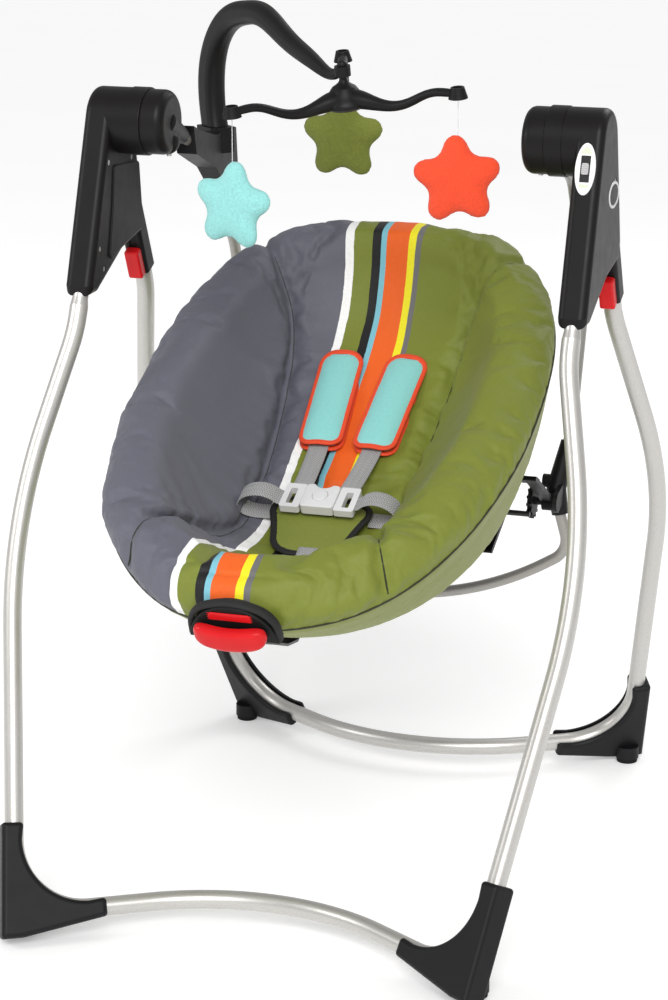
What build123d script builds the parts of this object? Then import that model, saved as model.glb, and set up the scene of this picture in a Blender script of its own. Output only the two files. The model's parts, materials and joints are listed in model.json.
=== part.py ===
from build123d import *
import math
import os

# Baby swing: an A-frame stand, a motor-driven swing frame, a reclining padded seat and a
# toy mobile. Millimetres, +Z up, floor at z = 0, the seat faces -Y, x = 0 is the middle.

# ---- driving dimensions ------------------------------------------------------------
LEG_OD, LEG_WALL = 22.0, 1.5
NECK_OD = 19.0
SWING_OD, SWING_WALL = 14.0, 1.5
RUNNING_FIT = 0.05          # radial, pins and axles that turn
SLIDING_GAP = 0.3           # round parts that slide or swing past each other

STAND_X = 301.0             # middle of each motor housing
FOOT_X = 273.0              # floor corners of both stand tubes
BASE_Z = 32.0               # height of the floor tubes
PAD_Z = 6.0                 # thickness of the rubber pads

HUB_Y, HUB_Z = -8.0, 898.0  # swing axis
PIVOT_Y, PIVOT_Z = 21.0, 850.0  # rear leg fold axis
AXLE_R, PIN_R = 6.0, 4.0
AXLE_END_X, BOSS_X = 313.0, 309.5
DRUM_R = 40.0
SHELL_WALL = 3.6
OUTER_X, INNER_X, DRUM_X, RING_X, CAP_X = 318.0, 284.0, 268.0, 247.0, 219.0

RECLINE_Y, RECLINE_Z = 150.0, 422.0

SEAT_TOP = (0.0, 249.0, 730.0)   # rear end of the seat rim, on the rim plane
SEAT_TILT = 25.55                # degrees, rim plane to the floor
SEAT_LENGTH, SEAT_HALF_WIDTH, SEAT_WIDEST = 724.0, 250.0, 350.0
WEB_W, WEB_T = 25.0, 1.6

os.makedirs("parts", exist_ok=True)


def save(piece, node):
    """Label a finished part and write it under its node name."""
    piece.part.label = node
    export_step(piece.part, f"parts/{node}.step")


def mirrored(piece):
    """The same part on the other side of x = 0."""
    with BuildPart() as other:
        add(piece.part.mirror(Plane.YZ))
    return other


def both_sides(piece):
    """One part holding the piece and its mirror image as separate solids."""
    with BuildPart() as pair:
        add(piece.part)
        add(piece.part.mirror(Plane.YZ))
    return pair


def save_pair(piece, name):
    save(piece, f"{name}_right")
    save(mirrored(piece), f"{name}_left")


def save_both(piece, node):
    save(both_sides(piece), node)


def bent_rod(points, radii, outer, bore=0.0):
    """A rod or tube of a given outer radius along straight runs joined by arcs."""
    with BuildPart() as rod:
        with BuildLine() as path:
            FilletPolyline(*points, radius=radii)
        first = Vector(*points[1]) - Vector(*points[0])
        with BuildSketch(Plane(origin=points[0], z_dir=first)):
            Circle(outer)
            if bore:
                Circle(bore, mode=Mode.SUBTRACT)
        sweep(path=path.line)
    return rod


def straight_rod(start, end, radius, end_radius=None, bore=0.0):
    """A straight cylinder, cone or tube between two points."""
    axis = Vector(*end) - Vector(*start)
    with BuildPart() as rod:
        with BuildSketch(Plane(origin=start, z_dir=axis)):
            Circle(radius)
        if end_radius is None:
            extrude(amount=axis.length)
        else:
            with BuildSketch(Plane(origin=end, z_dir=axis)):
                Circle(end_radius)
            loft()
        if bore:
            with BuildSketch(Plane(origin=start, z_dir=axis)):
                Circle(bore)
            extrude(amount=axis.length, mode=Mode.SUBTRACT)
    return rod


def cross_rod(x0, x1, y, z, radius, bore=0.0):
    """A cylinder or tube along X."""
    return straight_rod((x0, y, z), (x1, y, z), radius, bore=bore)


def along(start, end, distance):
    """The point a distance from start towards end."""
    a = Vector(*start)
    return tuple(a + (Vector(*end) - a).normalized() * distance)


# ---- stand tubes ---------------------------------------------------------------------
FRONT_NECK = (STAND_X, -113.4, 690.0)
FRONT_TOP = (STAND_X, -63.9, 800.0)
FRONT_KNEE = [(STAND_X, -126.4, 661.0), (347.6, -222.7, 447.0)]
FRONT_SWAGE = (314.7, -305.0, 264.0)
FRONT_CORNER = (FOOT_X, -409.5, BASE_Z)
FRONT_MIDDLE = (0.0, -240.0, BASE_Z)

REAR_TOP = (STAND_X, 53.2, 780.0)
REAR_KNEE = [(STAND_X, 101.4, 675.0), (347.2, 206.3, 447.0)]
REAR_SWAGE = (324.1, 265.7, 318.0)
REAR_CORNER = (FOOT_X, 397.2, BASE_Z)
REAR_MIDDLE = (0.0, 227.9, BASE_Z)

CORNER_R = 80.0
SPIGOT_LENGTH, SPIGOT_R, SPIGOT_BORE = 32.0, 9.3, 7.9
SPIGOT_PROFILE = [           # radius and height above the joint; it is rooted in the tube wall
    (SPIGOT_BORE, -14.0), (10.2, -14.0), (10.2, -1.0), (SPIGOT_R, -1.0),
    (SPIGOT_R, SPIGOT_LENGTH), (SPIGOT_BORE, SPIGOT_LENGTH),
]
NECK_TAPER = 9.0             # length of the cone above the front leg's full diameter


def across(point):
    return (-point[0], point[1], point[2])


def turned(start, end, profile):
    """A ring turned about the line from start to end, from (radius, height) points."""
    axis = Vector(*end) - Vector(*start)
    base = Plane(origin=start, z_dir=axis)
    with BuildPart() as ring:
        with BuildSketch(Plane(origin=start, x_dir=base.x_dir, z_dir=-base.y_dir)):
            with BuildLine():
                Polyline(*profile, close=True)
            make_face()
        revolve(axis=Axis(start, axis))
    return ring


def lower_tube(swage, knee, corner, middle, middle_r):
    """Floor tube and both lower legs, with a swaged spigot at each upper end."""
    left = [across(swage), across(corner)]
    points = left + [middle, corner, swage]
    tube = bent_rod(points, [CORNER_R, middle_r, CORNER_R], LEG_OD / 2, LEG_OD / 2 - LEG_WALL)
    spigot = turned(swage, knee, SPIGOT_PROFILE)
    with BuildPart() as lower:
        add(tube.part)
        add(spigot.part)
        add(spigot.part.mirror(Plane.YZ))
    return lower


save(lower_tube(FRONT_SWAGE, FRONT_KNEE[1], FRONT_CORNER, FRONT_MIDDLE, 263.0), "front_lower_tube")
save(lower_tube(REAR_SWAGE, REAR_KNEE[1], REAR_CORNER, REAR_MIDDLE, 283.0), "rear_lower_tube")

front_leg_main = bent_rod(
    [FRONT_NECK] + FRONT_KNEE + [FRONT_SWAGE], [200.0, 690.0], LEG_OD / 2, LEG_OD / 2 - LEG_WALL
)
neck_length = (Vector(*FRONT_TOP) - Vector(*FRONT_NECK)).length
neck_bore = NECK_OD / 2 - LEG_WALL
front_neck = turned(FRONT_NECK, FRONT_TOP, [
    (neck_bore, -6.0), (10.2, -6.0), (10.2, 0.0), (LEG_OD / 2 - 0.2, 0.0),
    (NECK_OD / 2, NECK_TAPER), (NECK_OD / 2, neck_length), (neck_bore, neck_length),
])
with BuildPart() as front_leg:
    add(front_leg_main.part)
    add(front_neck.part)
save_pair(front_leg, "front_leg")

rear_leg = bent_rod(
    [REAR_TOP] + REAR_KNEE + [REAR_SWAGE], [200.0, 600.0], LEG_OD / 2, LEG_OD / 2 - LEG_WALL
)
save_pair(rear_leg, "rear_leg")


# ---- feet ----------------------------------------------------------------------------
FOOT_HALF, PAD_R = 17.0, 14.0
BOOT_GAP = 0.12             # radial, boot over tube
CHANNEL = (86.3, 80.0)      # centre of the corner bend, in the foot's own plane


def foot(swage, corner, middle, middle_r, pad_y):
    """A moulded boot that wraps the outside of a floor corner and stands on a pad."""
    along_base = (Vector(*middle) - Vector(*corner)).normalized()
    up_leg = (Vector(*swage) - Vector(*corner)).normalized()
    plane = Plane(origin=corner, x_dir=along_base, z_dir=along_base.cross(up_leg))
    tube = bent_rod(
        [swage, corner, middle, across(corner)], [CORNER_R, middle_r], LEG_OD / 2 + BOOT_GAP
    )
    with BuildPart() as boot:
        with BuildSketch(plane) as side:
            with BuildLine():
                Polyline((-7.4, 106.9), (18.0, 105.0), (14.5, 85.5))
                ThreePointArc((14.5, 85.5), (36.0, 29.5), (86.3, 8.0))
                Polyline((86.3, 8.0), (106.0, 10.0), (106.0, -11.5), (8.0, -27.0), (-19.0, -27.0))
                Line((-19.0, -27.0), (-7.4, 106.9))
            make_face()
            local = [(plane.to_local_coords(v.center()), v) for v in side.vertices()]
            heel = [v for p, v in local if p.X < -15.0]
            tips = [v for p, v in local if p.X > 104.0 or p.Y > 104.0]
            fillet(heel, 22.0)
            fillet(tips, 4.0)
        extrude(amount=FOOT_HALF, both=True)
        fillet(boot.faces().filter_by(plane).edges(), 6.0)
        with BuildSketch(Plane.XY.offset(PAD_Z)):
            with Locations((corner[0], pad_y)):
                Circle(PAD_R + 1.5)
        extrude(amount=16.0)
        with BuildSketch(plane):
            with Locations(CHANNEL):
                Circle(CORNER_R)
        extrude(amount=LEG_OD / 2 + BOOT_GAP, both=True, mode=Mode.SUBTRACT)
        add(tube.part, mode=Mode.SUBTRACT)
        split(bisect_by=Plane.XY.offset(PAD_Z), keep=Keep.TOP)
    return boot


FRONT_PAD_Y, REAR_PAD_Y = -386.0, 386.0
save_pair(foot(FRONT_SWAGE, FRONT_CORNER, FRONT_MIDDLE, 263.0, FRONT_PAD_Y), "front_foot")
save_pair(foot(REAR_SWAGE, REAR_CORNER, REAR_MIDDLE, 283.0, REAR_PAD_Y), "rear_foot")

for pads, pad_y in (("front_foot_pads", FRONT_PAD_Y), ("rear_foot_pads", REAR_PAD_Y)):
    with BuildPart() as pad:
        with BuildSketch():
            with Locations((FOOT_X, pad_y)):
                Circle(PAD_R)
        extrude(amount=PAD_Z)
        fillet(pad.edges().group_by(Axis.Z)[0], 1.5)
    save_both(pad, pads)


# ---- motor housings --------------------------------------------------------------------
def polar(centre_y, centre_z, radius, degrees):
    a = math.radians(degrees)
    return (centre_y + radius * math.cos(a), centre_z + radius * math.sin(a))


HEAD_START, HEAD_TURN = 11.0, 149.0   # arc of the housing's round head, degrees


def housing_face(inset):
    """Side outline of a housing: a round head on the hub, tapering to the front leg."""
    with BuildSketch(Plane.YZ) as face:
        with BuildLine():
            head = CenterArc((HUB_Y, HUB_Z), DRUM_R, HEAD_START, HEAD_TURN)
            Polyline(
                head @ 1, (-118.0, 714.0), (-115.0, 702.0), (-91.0, 702.5), (-11.0, 740.0),
                (54.0, 752.0), (59.0, 774.0), (54.0, 800.0), (49.0, 824.0), head @ 0,
            )
        make_face()
        if inset:
            offset(amount=-inset, mode=Mode.REPLACE)
    return face


outline = housing_face(0.0)
cavity = housing_face(SHELL_WALL)
WALL_X0, WALL_X1 = INNER_X + SHELL_WALL, OUTER_X - SHELL_WALL
sleeve_slot_y, sleeve_slot_z = (-26.0, 70.0), (690.0, 836.0)


def along_x(face, x):
    """The face's plane moved to x."""
    return face.sketch.moved(Location((x, 0, 0)))


neck_hole = straight_rod(
    along(FRONT_TOP, FRONT_NECK, 20.0), along(FRONT_TOP, FRONT_NECK, 150.0), NECK_OD / 2 + 0.1
)

with BuildPart() as housing:
    extrude(along_x(outline, INNER_X), amount=OUTER_X - INNER_X, dir=(1, 0, 0))
    fillet(housing.faces().sort_by(Axis.X)[-1].edges(), 9.0)
    fillet(housing.faces().sort_by(Axis.X)[0].edges(), 9.0)
    with BuildSketch(Plane.YZ.offset(DRUM_X)):
        with Locations((HUB_Y, HUB_Z)):
            Circle(DRUM_R)
    extrude(amount=STAND_X - 6.0 - DRUM_X)
    extrude(along_x(cavity, WALL_X0), amount=WALL_X1 - WALL_X0, dir=(1, 0, 0), mode=Mode.SUBTRACT)
    with BuildSketch(Plane.YZ.offset(DRUM_X + SHELL_WALL)):
        with Locations((HUB_Y, HUB_Z)):
            Circle(DRUM_R - SHELL_WALL)
    extrude(amount=WALL_X0 + 2.0 - DRUM_X - SHELL_WALL, mode=Mode.SUBTRACT)
    with BuildSketch(Plane.YZ.offset(DRUM_X)):
        with Locations((HUB_Y, HUB_Z)):
            Circle(AXLE_R + SLIDING_GAP)
    extrude(amount=SHELL_WALL, mode=Mode.SUBTRACT)
    with BuildSketch(Plane.YZ.offset(WALL_X0)):
        with Locations(((sleeve_slot_y[0] + sleeve_slot_y[1]) / 2, 763.0)):
            Rectangle(sleeve_slot_y[1] - sleeve_slot_y[0], sleeve_slot_z[1] - sleeve_slot_z[0])
    extrude(amount=WALL_X1 - WALL_X0, mode=Mode.SUBTRACT)
    with BuildSketch(Plane.YZ.offset(INNER_X)):
        with Locations((PIVOT_Y, PIVOT_Z)):
            Circle(PIN_R + RUNNING_FIT)
    extrude(amount=OUTER_X - INNER_X, mode=Mode.SUBTRACT)
    add(neck_hole.part, mode=Mode.SUBTRACT)

with BuildPart() as housing_outer:
    add(housing.part)
    split(bisect_by=Plane.YZ.offset(STAND_X), keep=Keep.TOP)
    with BuildSketch(Plane.YZ.offset(BOSS_X)):
        with Locations((HUB_Y, HUB_Z)):
            Circle(AXLE_R + 5.0)
            Circle(AXLE_R + RUNNING_FIT, mode=Mode.SUBTRACT)
    extrude(amount=WALL_X1 - BOSS_X + 0.5)

SCREW_SITES = [(-52.0, 853.0), (-85.0, 754.0), (-74.0, 728.0)]
SCREW_SEAT = 1.5            # depth of the recess under each screw head
with BuildPart() as housing_inner:
    add(housing.part)
    split(bisect_by=Plane.YZ.offset(STAND_X), keep=Keep.BOTTOM)
    for radius, depth in ((3.25, SCREW_SEAT), (1.55, 6.5)):
        with BuildSketch(Plane.YZ.offset(INNER_X)):
            with Locations(SCREW_SITES):
                Circle(radius)
        extrude(amount=depth, mode=Mode.SUBTRACT)

save_pair(housing_outer, "housing_outer")
save_pair(housing_inner, "housing_inner")

# The battery side cover sits proud of the flat inner wall, behind the screws.
with BuildPart() as side_cover:
    with BuildSketch(Plane.YZ.offset(INNER_X - 2.0)):
        with BuildLine():
            Polyline((-40.0, 848.0), (-46.0, 800.0), (-60.0, 735.0), (-8.0, 748.0), (46.0, 758.0))
            Polyline((46.0, 758.0), (48.0, 776.0), (40.0, 842.0), (-40.0, 848.0))
        make_face()
    extrude(amount=2.0)
    fillet(side_cover.edges().filter_by(Axis.X), 6.0)
    fillet(side_cover.faces().sort_by(Axis.X)[0].edges(), 1.2)
save_both(side_cover, "side_covers")

# Hub ring: the fixed collar and bearing between the drum and the turning cap.
with BuildPart() as hub_ring:
    with BuildSketch(Plane.YZ.offset(RING_X)):
        with Locations((HUB_Y, HUB_Z)):
            Circle(DRUM_R + 1.0)
    extrude(amount=DRUM_X - RING_X)
    fillet(hub_ring.faces().sort_by(Axis.X)[0].edges(), 1.5)
    with BuildSketch(Plane.YZ.offset(RING_X + 4.0)):
        with Locations((HUB_Y, HUB_Z)):
            Circle(DRUM_R - 3.0)
            Circle(AXLE_R + 4.0, mode=Mode.SUBTRACT)
    extrude(amount=DRUM_X - RING_X - 4.0, mode=Mode.SUBTRACT)
    with BuildSketch(Plane.YZ.offset(RING_X)):
        with Locations((HUB_Y, HUB_Z)):
            Circle(AXLE_R + RUNNING_FIT)
    extrude(amount=DRUM_X - RING_X, mode=Mode.SUBTRACT)
save_both(hub_ring, "hub_rings")

save_both(cross_rod(INNER_X + 0.6, OUTER_X - 0.6, PIVOT_Y, PIVOT_Z, PIN_R), "rear_pivot_pins")

with BuildPart() as screws:
    with BuildSketch(Plane.YZ.offset(INNER_X + 0.3)):
        with Locations(SCREW_SITES):
            Circle(3.1)
    extrude(amount=SCREW_SEAT - 0.3)
    with BuildSketch(Plane.YZ.offset(INNER_X + SCREW_SEAT - 0.2)):
        with Locations(SCREW_SITES):
            Circle(1.5)
    extrude(amount=4.8)
    with BuildSketch(Plane.YZ.offset(INNER_X + 0.3)):
        with Locations(SCREW_SITES):
            Rectangle(3.4, 0.9)
            Rectangle(0.9, 3.4)
    extrude(amount=0.8, mode=Mode.SUBTRACT)
save_both(screws, "housing_screws")

# Control bezel: a narrow oval on the front nose of the right housing.
BEZEL_Z = 875.0
SLIDER_W, SLIDER_LENGTH, SLIDER_TRAVEL = 8.0, 13.0, 8.0
nose_low = Vector(0, -118.0, 714.0)
nose_high = Vector(0, *polar(HUB_Y, HUB_Z, DRUM_R, HEAD_START + HEAD_TURN))
nose_run = (nose_high - nose_low).normalized()
bezel_centre = nose_low + nose_run * ((BEZEL_Z - nose_low.Z) / nose_run.Z)
bezel_plane = Plane(
    origin=(STAND_X - 1.0, bezel_centre.Y, bezel_centre.Z),
    x_dir=(1, 0, 0),
    z_dir=Vector(1, 0, 0).cross(nose_run),
)
bezel_normal = Axis(bezel_plane.origin, bezel_plane.z_dir)
with BuildPart() as bezel:
    with BuildSketch(bezel_plane):
        Ellipse(11.75, 30.0)
    extrude(amount=2.4)
    fillet(bezel.faces().sort_by(bezel_normal)[-1].edges(), 0.8)
    with BuildSketch(bezel_plane.offset(0.8)):
        Rectangle(SLIDER_W + 3.6, SLIDER_LENGTH + 2 * SLIDER_TRAVEL + 2.0)
    extrude(amount=2.0, mode=Mode.SUBTRACT)
save(bezel, "control_bezel")

with BuildPart() as speed_slider:
    with BuildSketch(bezel_plane.offset(0.9)):
        RectangleRounded(SLIDER_W, SLIDER_LENGTH, 2.0)
    extrude(amount=2.6)
    with BuildSketch(bezel_plane.offset(3.0)):
        with GridLocations(0, 2.2, 1, 5):
            Rectangle(SLIDER_W, 0.9)
    extrude(amount=0.6, mode=Mode.SUBTRACT)
save(speed_slider, "speed_slider")


# ---- drive ---------------------------------------------------------------------------
MOTOR_Y, MOTOR_Z, MOTOR_R = -24.5, 876.0, 8.0
GEAR_TEETH, PINION_TEETH = 44, 11     # module 1
GEAR_X0, GEAR_X1 = 303.0, 308.5
TO_MOTOR = math.degrees(math.atan2(MOTOR_Z - HUB_Z, MOTOR_Y - HUB_Y))


def spur_gear(y, z, teeth, bore, first_tooth):
    """A module 1 spur gear on the X axis, with a tooth centred on the given angle."""
    root, tip = teeth / 2 - 1.35, teeth / 2 + 0.85
    foot_r = root - 0.4
    with BuildPart() as gear:
        with BuildSketch(Plane.YZ.offset(GEAR_X0)):
            with Locations((y, z)):
                Circle(root)
                with PolarLocations(0, teeth, start_angle=first_tooth):
                    Polygon((foot_r, -0.8), (tip, -0.32), (tip, 0.32), (foot_r, 0.8), align=None)
                if bore:
                    Circle(bore, mode=Mode.SUBTRACT)
        extrude(amount=GEAR_X1 - GEAR_X0)
    return gear


save(spur_gear(HUB_Y, HUB_Z, GEAR_TEETH, AXLE_R + RUNNING_FIT, TO_MOTOR), "drive_gear")
half_tooth = 180.0 / PINION_TEETH
pinion_teeth = spur_gear(MOTOR_Y, MOTOR_Z, PINION_TEETH, 0.0, TO_MOTOR + 180.0 + half_tooth)
with BuildPart() as pinion:
    add(pinion_teeth.part)
    add(cross_rod(300.5, 312.0, MOTOR_Y, MOTOR_Z, 1.5).part)
save(pinion, "motor_pinion")

with BuildPart() as motor:
    add(cross_rod(273.0, 298.0, MOTOR_Y, MOTOR_Z, MOTOR_R).part)
    fillet(motor.edges().filter_by(GeomType.CIRCLE), 1.0)
    add(cross_rod(297.5, 300.0, MOTOR_Y, MOTOR_Z, 3.0).part)
save(motor, "motor")

CELL_R, CELL_Z, CELL_LENGTH = 7.2, 806.0, 50.0
with BuildPart() as cells:
    with BuildSketch(Plane.XY.offset(CELL_Z)):
        with Locations((STAND_X, -49.0), (STAND_X, -34.0), (STAND_X, -19.0)):
            Circle(CELL_R)
    extrude(amount=CELL_LENGTH - 1.5)
    with BuildSketch(Plane.XY.offset(CELL_Z)):
        with Locations((STAND_X, -49.0), (STAND_X, -34.0), (STAND_X, -19.0)):
            Circle(2.7)
    extrude(amount=CELL_LENGTH)
save(cells, "battery_cells")


# ---- rear leg sleeves and fold buttons ----------------------------------------------
sleeve_axis = Vector(0, REAR_KNEE[0][1] - PIVOT_Y, REAR_KNEE[0][2] - PIVOT_Z).normalized()
sleeve_plane = Plane(
    origin=(STAND_X, PIVOT_Y, PIVOT_Z), x_dir=(1, 0, 0), z_dir=Vector(1, 0, 0).cross(-sleeve_axis)
)
# Local x is world X, local y runs back up the leg, local z points to the front.
SLEEVE_W, SLEEVE_HALF, SLEEVE_LENGTH = 25.6, 13.3, 166.0
BUTTON_TRAVEL, BUTTON_STEM = 5.0, 34.0
with BuildPart() as sleeve:
    with BuildSketch(Plane.YZ.offset(STAND_X - SLEEVE_W / 2)):
        with Locations((PIVOT_Y, PIVOT_Z)):
            Circle(SLEEVE_HALF)
    extrude(amount=SLEEVE_W)
    with BuildSketch(sleeve_plane):
        with Locations((0.0, -SLEEVE_LENGTH / 2)):
            Rectangle(SLEEVE_W, SLEEVE_LENGTH)
    extrude(amount=SLEEVE_HALF, both=True)
    long_edges = sleeve.edges().filter_by(Axis((0, 0, 0), sleeve_axis))
    fillet(long_edges.filter_by(lambda e: e.length > 100.0), 5.0)
    with BuildSketch(sleeve_plane.offset(SLEEVE_HALF - 1.6)):
        with Locations((0.0, -140.0)):
            Rectangle(9.0, BUTTON_STEM + 4 * BUTTON_TRAVEL)
    extrude(amount=3.0, mode=Mode.SUBTRACT)
    sleeve_end = tuple(Vector(*REAR_TOP) + sleeve_axis * 160.0)
    add(straight_rod(REAR_TOP, sleeve_end, LEG_OD / 2 + 0.2).part, mode=Mode.SUBTRACT)
    add(cross_rod(270.0, 330.0, PIVOT_Y, PIVOT_Z, PIN_R + RUNNING_FIT).part, mode=Mode.SUBTRACT)
save_pair(sleeve, "rear_sleeve")

with BuildPart() as fold_button:
    with BuildSketch(sleeve_plane.offset(SLEEVE_HALF + 0.6)):
        with Locations((0.0, -147.0)):
            RectangleRounded(19.0, 40.0, 3.0)
    extrude(amount=11.5)
    fillet(fold_button.faces().filter_by(sleeve_plane).sort_by(Axis.Y)[0].edges(), 3.0)
    with BuildSketch(sleeve_plane.offset(SLEEVE_HALF - 1.3)):
        with Locations((0.0, -145.0)):
            Rectangle(8.0, BUTTON_STEM)
    extrude(amount=2.6)
save_pair(fold_button, "fold_button")


# ---- swing frame ---------------------------------------------------------------------
SWING_A = (232.0, 164.0, 827.5)
SWING_B = (231.0, 254.0, 680.0)
SWING_E1 = (229.0, 199.0, 500.0)
SWING_E2 = (219.0, 181.0, 443.0)
HUB_CENTRE = (230.5, HUB_Y, HUB_Z)
SWING_START = along(HUB_CENTRE, SWING_A, 22.0)
STUB_END = along(HUB_CENTRE, SWING_A, 66.0)
FIT_R = SWING_OD / 2 + 0.05

swing_tube = bent_rod(
    [SWING_START, SWING_A, SWING_B, SWING_E1, SWING_E2], [60.0, 90.0, 60.0],
    SWING_OD / 2, SWING_OD / 2 - SWING_WALL,
)
save_pair(swing_tube, "swing_tube")

# The U-shaped seat tube hangs in one upright plane.
SEAT_TUBE_Y = 177.0
seat_top, seat_corner = (216.5, SEAT_TUBE_Y, 423.0), (236.0, SEAT_TUBE_Y, 352.0)
seat_middle = (0.0, SEAT_TUBE_Y, 210.4)
seat_tube = bent_rod(
    [across(seat_top), across(seat_corner), seat_middle, seat_corner, seat_top],
    [30.0, 396.0, 30.0], SWING_OD / 2, SWING_OD / 2 - SWING_WALL,
)
save(seat_tube, "seat_tube")

# Hub cap: drum, bulge and tapering socket for the swing tube.
with BuildPart() as hub_cap:
    with BuildSketch(Plane.YZ.offset(CAP_X)):
        with Locations((HUB_Y, HUB_Z)):
            Circle(DRUM_R - 1.0)
    extrude(amount=RING_X - 0.4 - CAP_X)
    fillet(hub_cap.faces().sort_by(Axis.X)[0].edges(), 11.0)
    add(straight_rod(HUB_CENTRE, STUB_END, 15.5, 10.0).part)
    with Locations((CAP_X + 11.5, 2.0, 873.0)):
        Sphere(15.5)
    split(bisect_by=Plane.YZ.offset(RING_X - 0.4), keep=Keep.BOTTOM)
    add(straight_rod(SWING_START, SWING_A, FIT_R).part, mode=Mode.SUBTRACT)
    add(cross_rod(CAP_X + 2.6, 260.0, HUB_Y, HUB_Z, AXLE_R + RUNNING_FIT).part, mode=Mode.SUBTRACT)
    add(straight_rod((231.0, 10.0, 866.0), (231.0, 10.0, 850.0), 3.1).part, mode=Mode.SUBTRACT)
save_pair(hub_cap, "hub_cap")

save_both(cross_rod(CAP_X + 3.0, AXLE_END_X, HUB_Y, HUB_Z, AXLE_R), "hub_axles")
with BuildPart() as hub_screw:
    add(straight_rod((231.0, 10.0, 865.0), (231.0, 10.0, 854.5), 3.0).part)
    with BuildSketch(Plane.XY.offset(854.5)):
        with Locations((231.0, 10.0)):
            RegularPolygon(1.5, 6)
    extrude(amount=2.0, mode=Mode.SUBTRACT)
save_both(hub_screw, "hub_screws")

# Seat mount: joins the swing tube to the seat tube and carries the recline pin.
MOUNT_TOP = along(SWING_E2, SWING_E1, 50.0)
MOUNT_KNEE = (217.0, 178.5, 432.0)
MOUNT_FOOT = along(seat_top, seat_corner, 24.0)
LUG_X0, LUG_X1 = 222.0, 227.5
with BuildPart() as seat_mount:
    add(straight_rod(MOUNT_TOP, MOUNT_KNEE, 9.5, 12.5).part)
    add(straight_rod(MOUNT_KNEE, MOUNT_FOOT, 12.5, 10.5).part)
    with Locations(MOUNT_KNEE):
        Sphere(12.5)
    add(cross_rod(200.0, 217.0, 179.0, 441.0, 8.5).part)
    with BuildSketch(Plane.YZ.offset(LUG_X0)):
        with BuildLine():
            Polyline((150.0, 409.0), (180.0, 420.0), (180.0, 442.0), (146.0, 434.5))
            ThreePointArc((146.0, 434.5), (137.0, 422.0), (150.0, 409.0))
        make_face()
    extrude(amount=LUG_X1 - LUG_X0)
    add(straight_rod(along(SWING_E2, SWING_E1, -0.5), along(SWING_E2, SWING_E1, 60.0), FIT_R).part,
        mode=Mode.SUBTRACT)
    add(straight_rod(along(seat_top, seat_corner, -0.5), seat_corner, FIT_R).part,
        mode=Mode.SUBTRACT)
    add(cross_rod(197.0, LUG_X0, RECLINE_Y, RECLINE_Z, 5.0).part)
    with BuildSketch(Plane.YZ.offset(191.0)):
        with Locations((RECLINE_Y, RECLINE_Z)):
            Circle(18.0)
            with PolarLocations(20.0, 14):
                Rectangle(5.0, 3.0)
    extrude(amount=6.0)
save_pair(seat_mount, "seat_mount")


# ---- seat ----------------------------------------------------------------------------
# The seat plane lies on the rim: local x is world X, local y runs back up the rim and
# local z (depth, positive up) is square to it. s is the distance forward from the rear end.
seat_plane = Plane(origin=SEAT_TOP, x_dir=(1, 0, 0), z_dir=(
    0, -math.sin(math.radians(SEAT_TILT)), math.cos(math.radians(SEAT_TILT))
))
SEAT_STEPS = 12


def on_seat(x, s, depth):
    return tuple(seat_plane.from_local_coords((x, -s, depth)))


def egg(s0, s1, half_width, widest, depth, power=2.6):
    """A closed egg-shaped face at a depth: widest where given, squarer at the rear."""
    points = []
    for step in range(2 * SEAT_STEPS):
        turn = math.pi * step / SEAT_STEPS
        across_, fore = math.sin(turn), -math.cos(turn)
        n = power if fore < 0 else 2.2
        reach = (widest - s0) if fore < 0 else (s1 - widest)
        x = half_width * math.copysign(abs(across_) ** (2 / n), across_)
        y = reach * math.copysign(abs(fore) ** (2 / n), fore)
        points.append((x, -(widest + y)))
    with BuildSketch(seat_plane.offset(depth)) as face:
        with BuildLine():
            Spline(*points, periodic=True)
        make_face()
    return face


def lofted(faces):
    with BuildPart() as body:
        loft([f.sketch for f in faces])
    return body


shell_outer = lofted([
    egg(26, 698, 224, 350, -42), egg(48, 655, 219, 348, -85), egg(78, 612, 207, 345, -124),
    egg(104, 580, 192, 342, -142),
])
shell_inner = lofted([
    egg(29, 695, 221, 350, -41), egg(51, 652, 216, 348, -84), egg(82, 608, 203, 345, -121),
    egg(108, 576, 188, 342, -139),
])
cover_outer = lofted([
    egg(34, 690, 216, 352, 40), egg(6, 718, 244, SEAT_WIDEST, 22),
    egg(0, SEAT_LENGTH, SEAT_HALF_WIDTH, SEAT_WIDEST, 0),
    egg(14, 706, 240, 350, -42), egg(42, 668, 228, 348, -85), egg(72, 622, 214, 345, -124),
    egg(97, 588, 198, 342, -141),
])
hollow = lofted([
    egg(46, 678, 204, 352, 43), egg(76, 640, 172, 350, -10), egg(120, 604, 142, 346, -50),
    egg(188, 566, 118, 350, -76), egg(300, 515, 76, 400, -103),
])

with BuildPart() as seat_shell:
    add(shell_outer.part)
    add(shell_inner.part, mode=Mode.SUBTRACT)
save(seat_shell, "seat_shell")

# Release link: a flat bar under the shell from the latch bar up the front to the handle.
LINK_HALF_W, LINK_T = 12.0, 3.0
latch = seat_plane.to_local_coords(Vector(0, RECLINE_Y, RECLINE_Z))
latch_s, latch_depth = -latch.Y + 26.4, latch.Z
LINK_ROUTE = [
    (latch_s, latch_depth), (336.0, -149.0), (598.0, -149.0), (628.0, -128.0),
    (668.0, -88.0), (713.0, -44.0), (727.0, -14.0), (740.3, -14.0),
]


def strap_plane(x, s, heading=0.0):
    """Plane on edge to the seat: local x runs along the heading, local y is depth."""
    turn = math.radians(heading)
    e = Vector(*on_seat(math.sin(turn), math.cos(turn), 0)) - Vector(*SEAT_TOP)
    return Plane(origin=on_seat(x, s, 0), x_dir=e, z_dir=e.cross(seat_plane.z_dir))


MID = strap_plane(0.0, 0.0)


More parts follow.
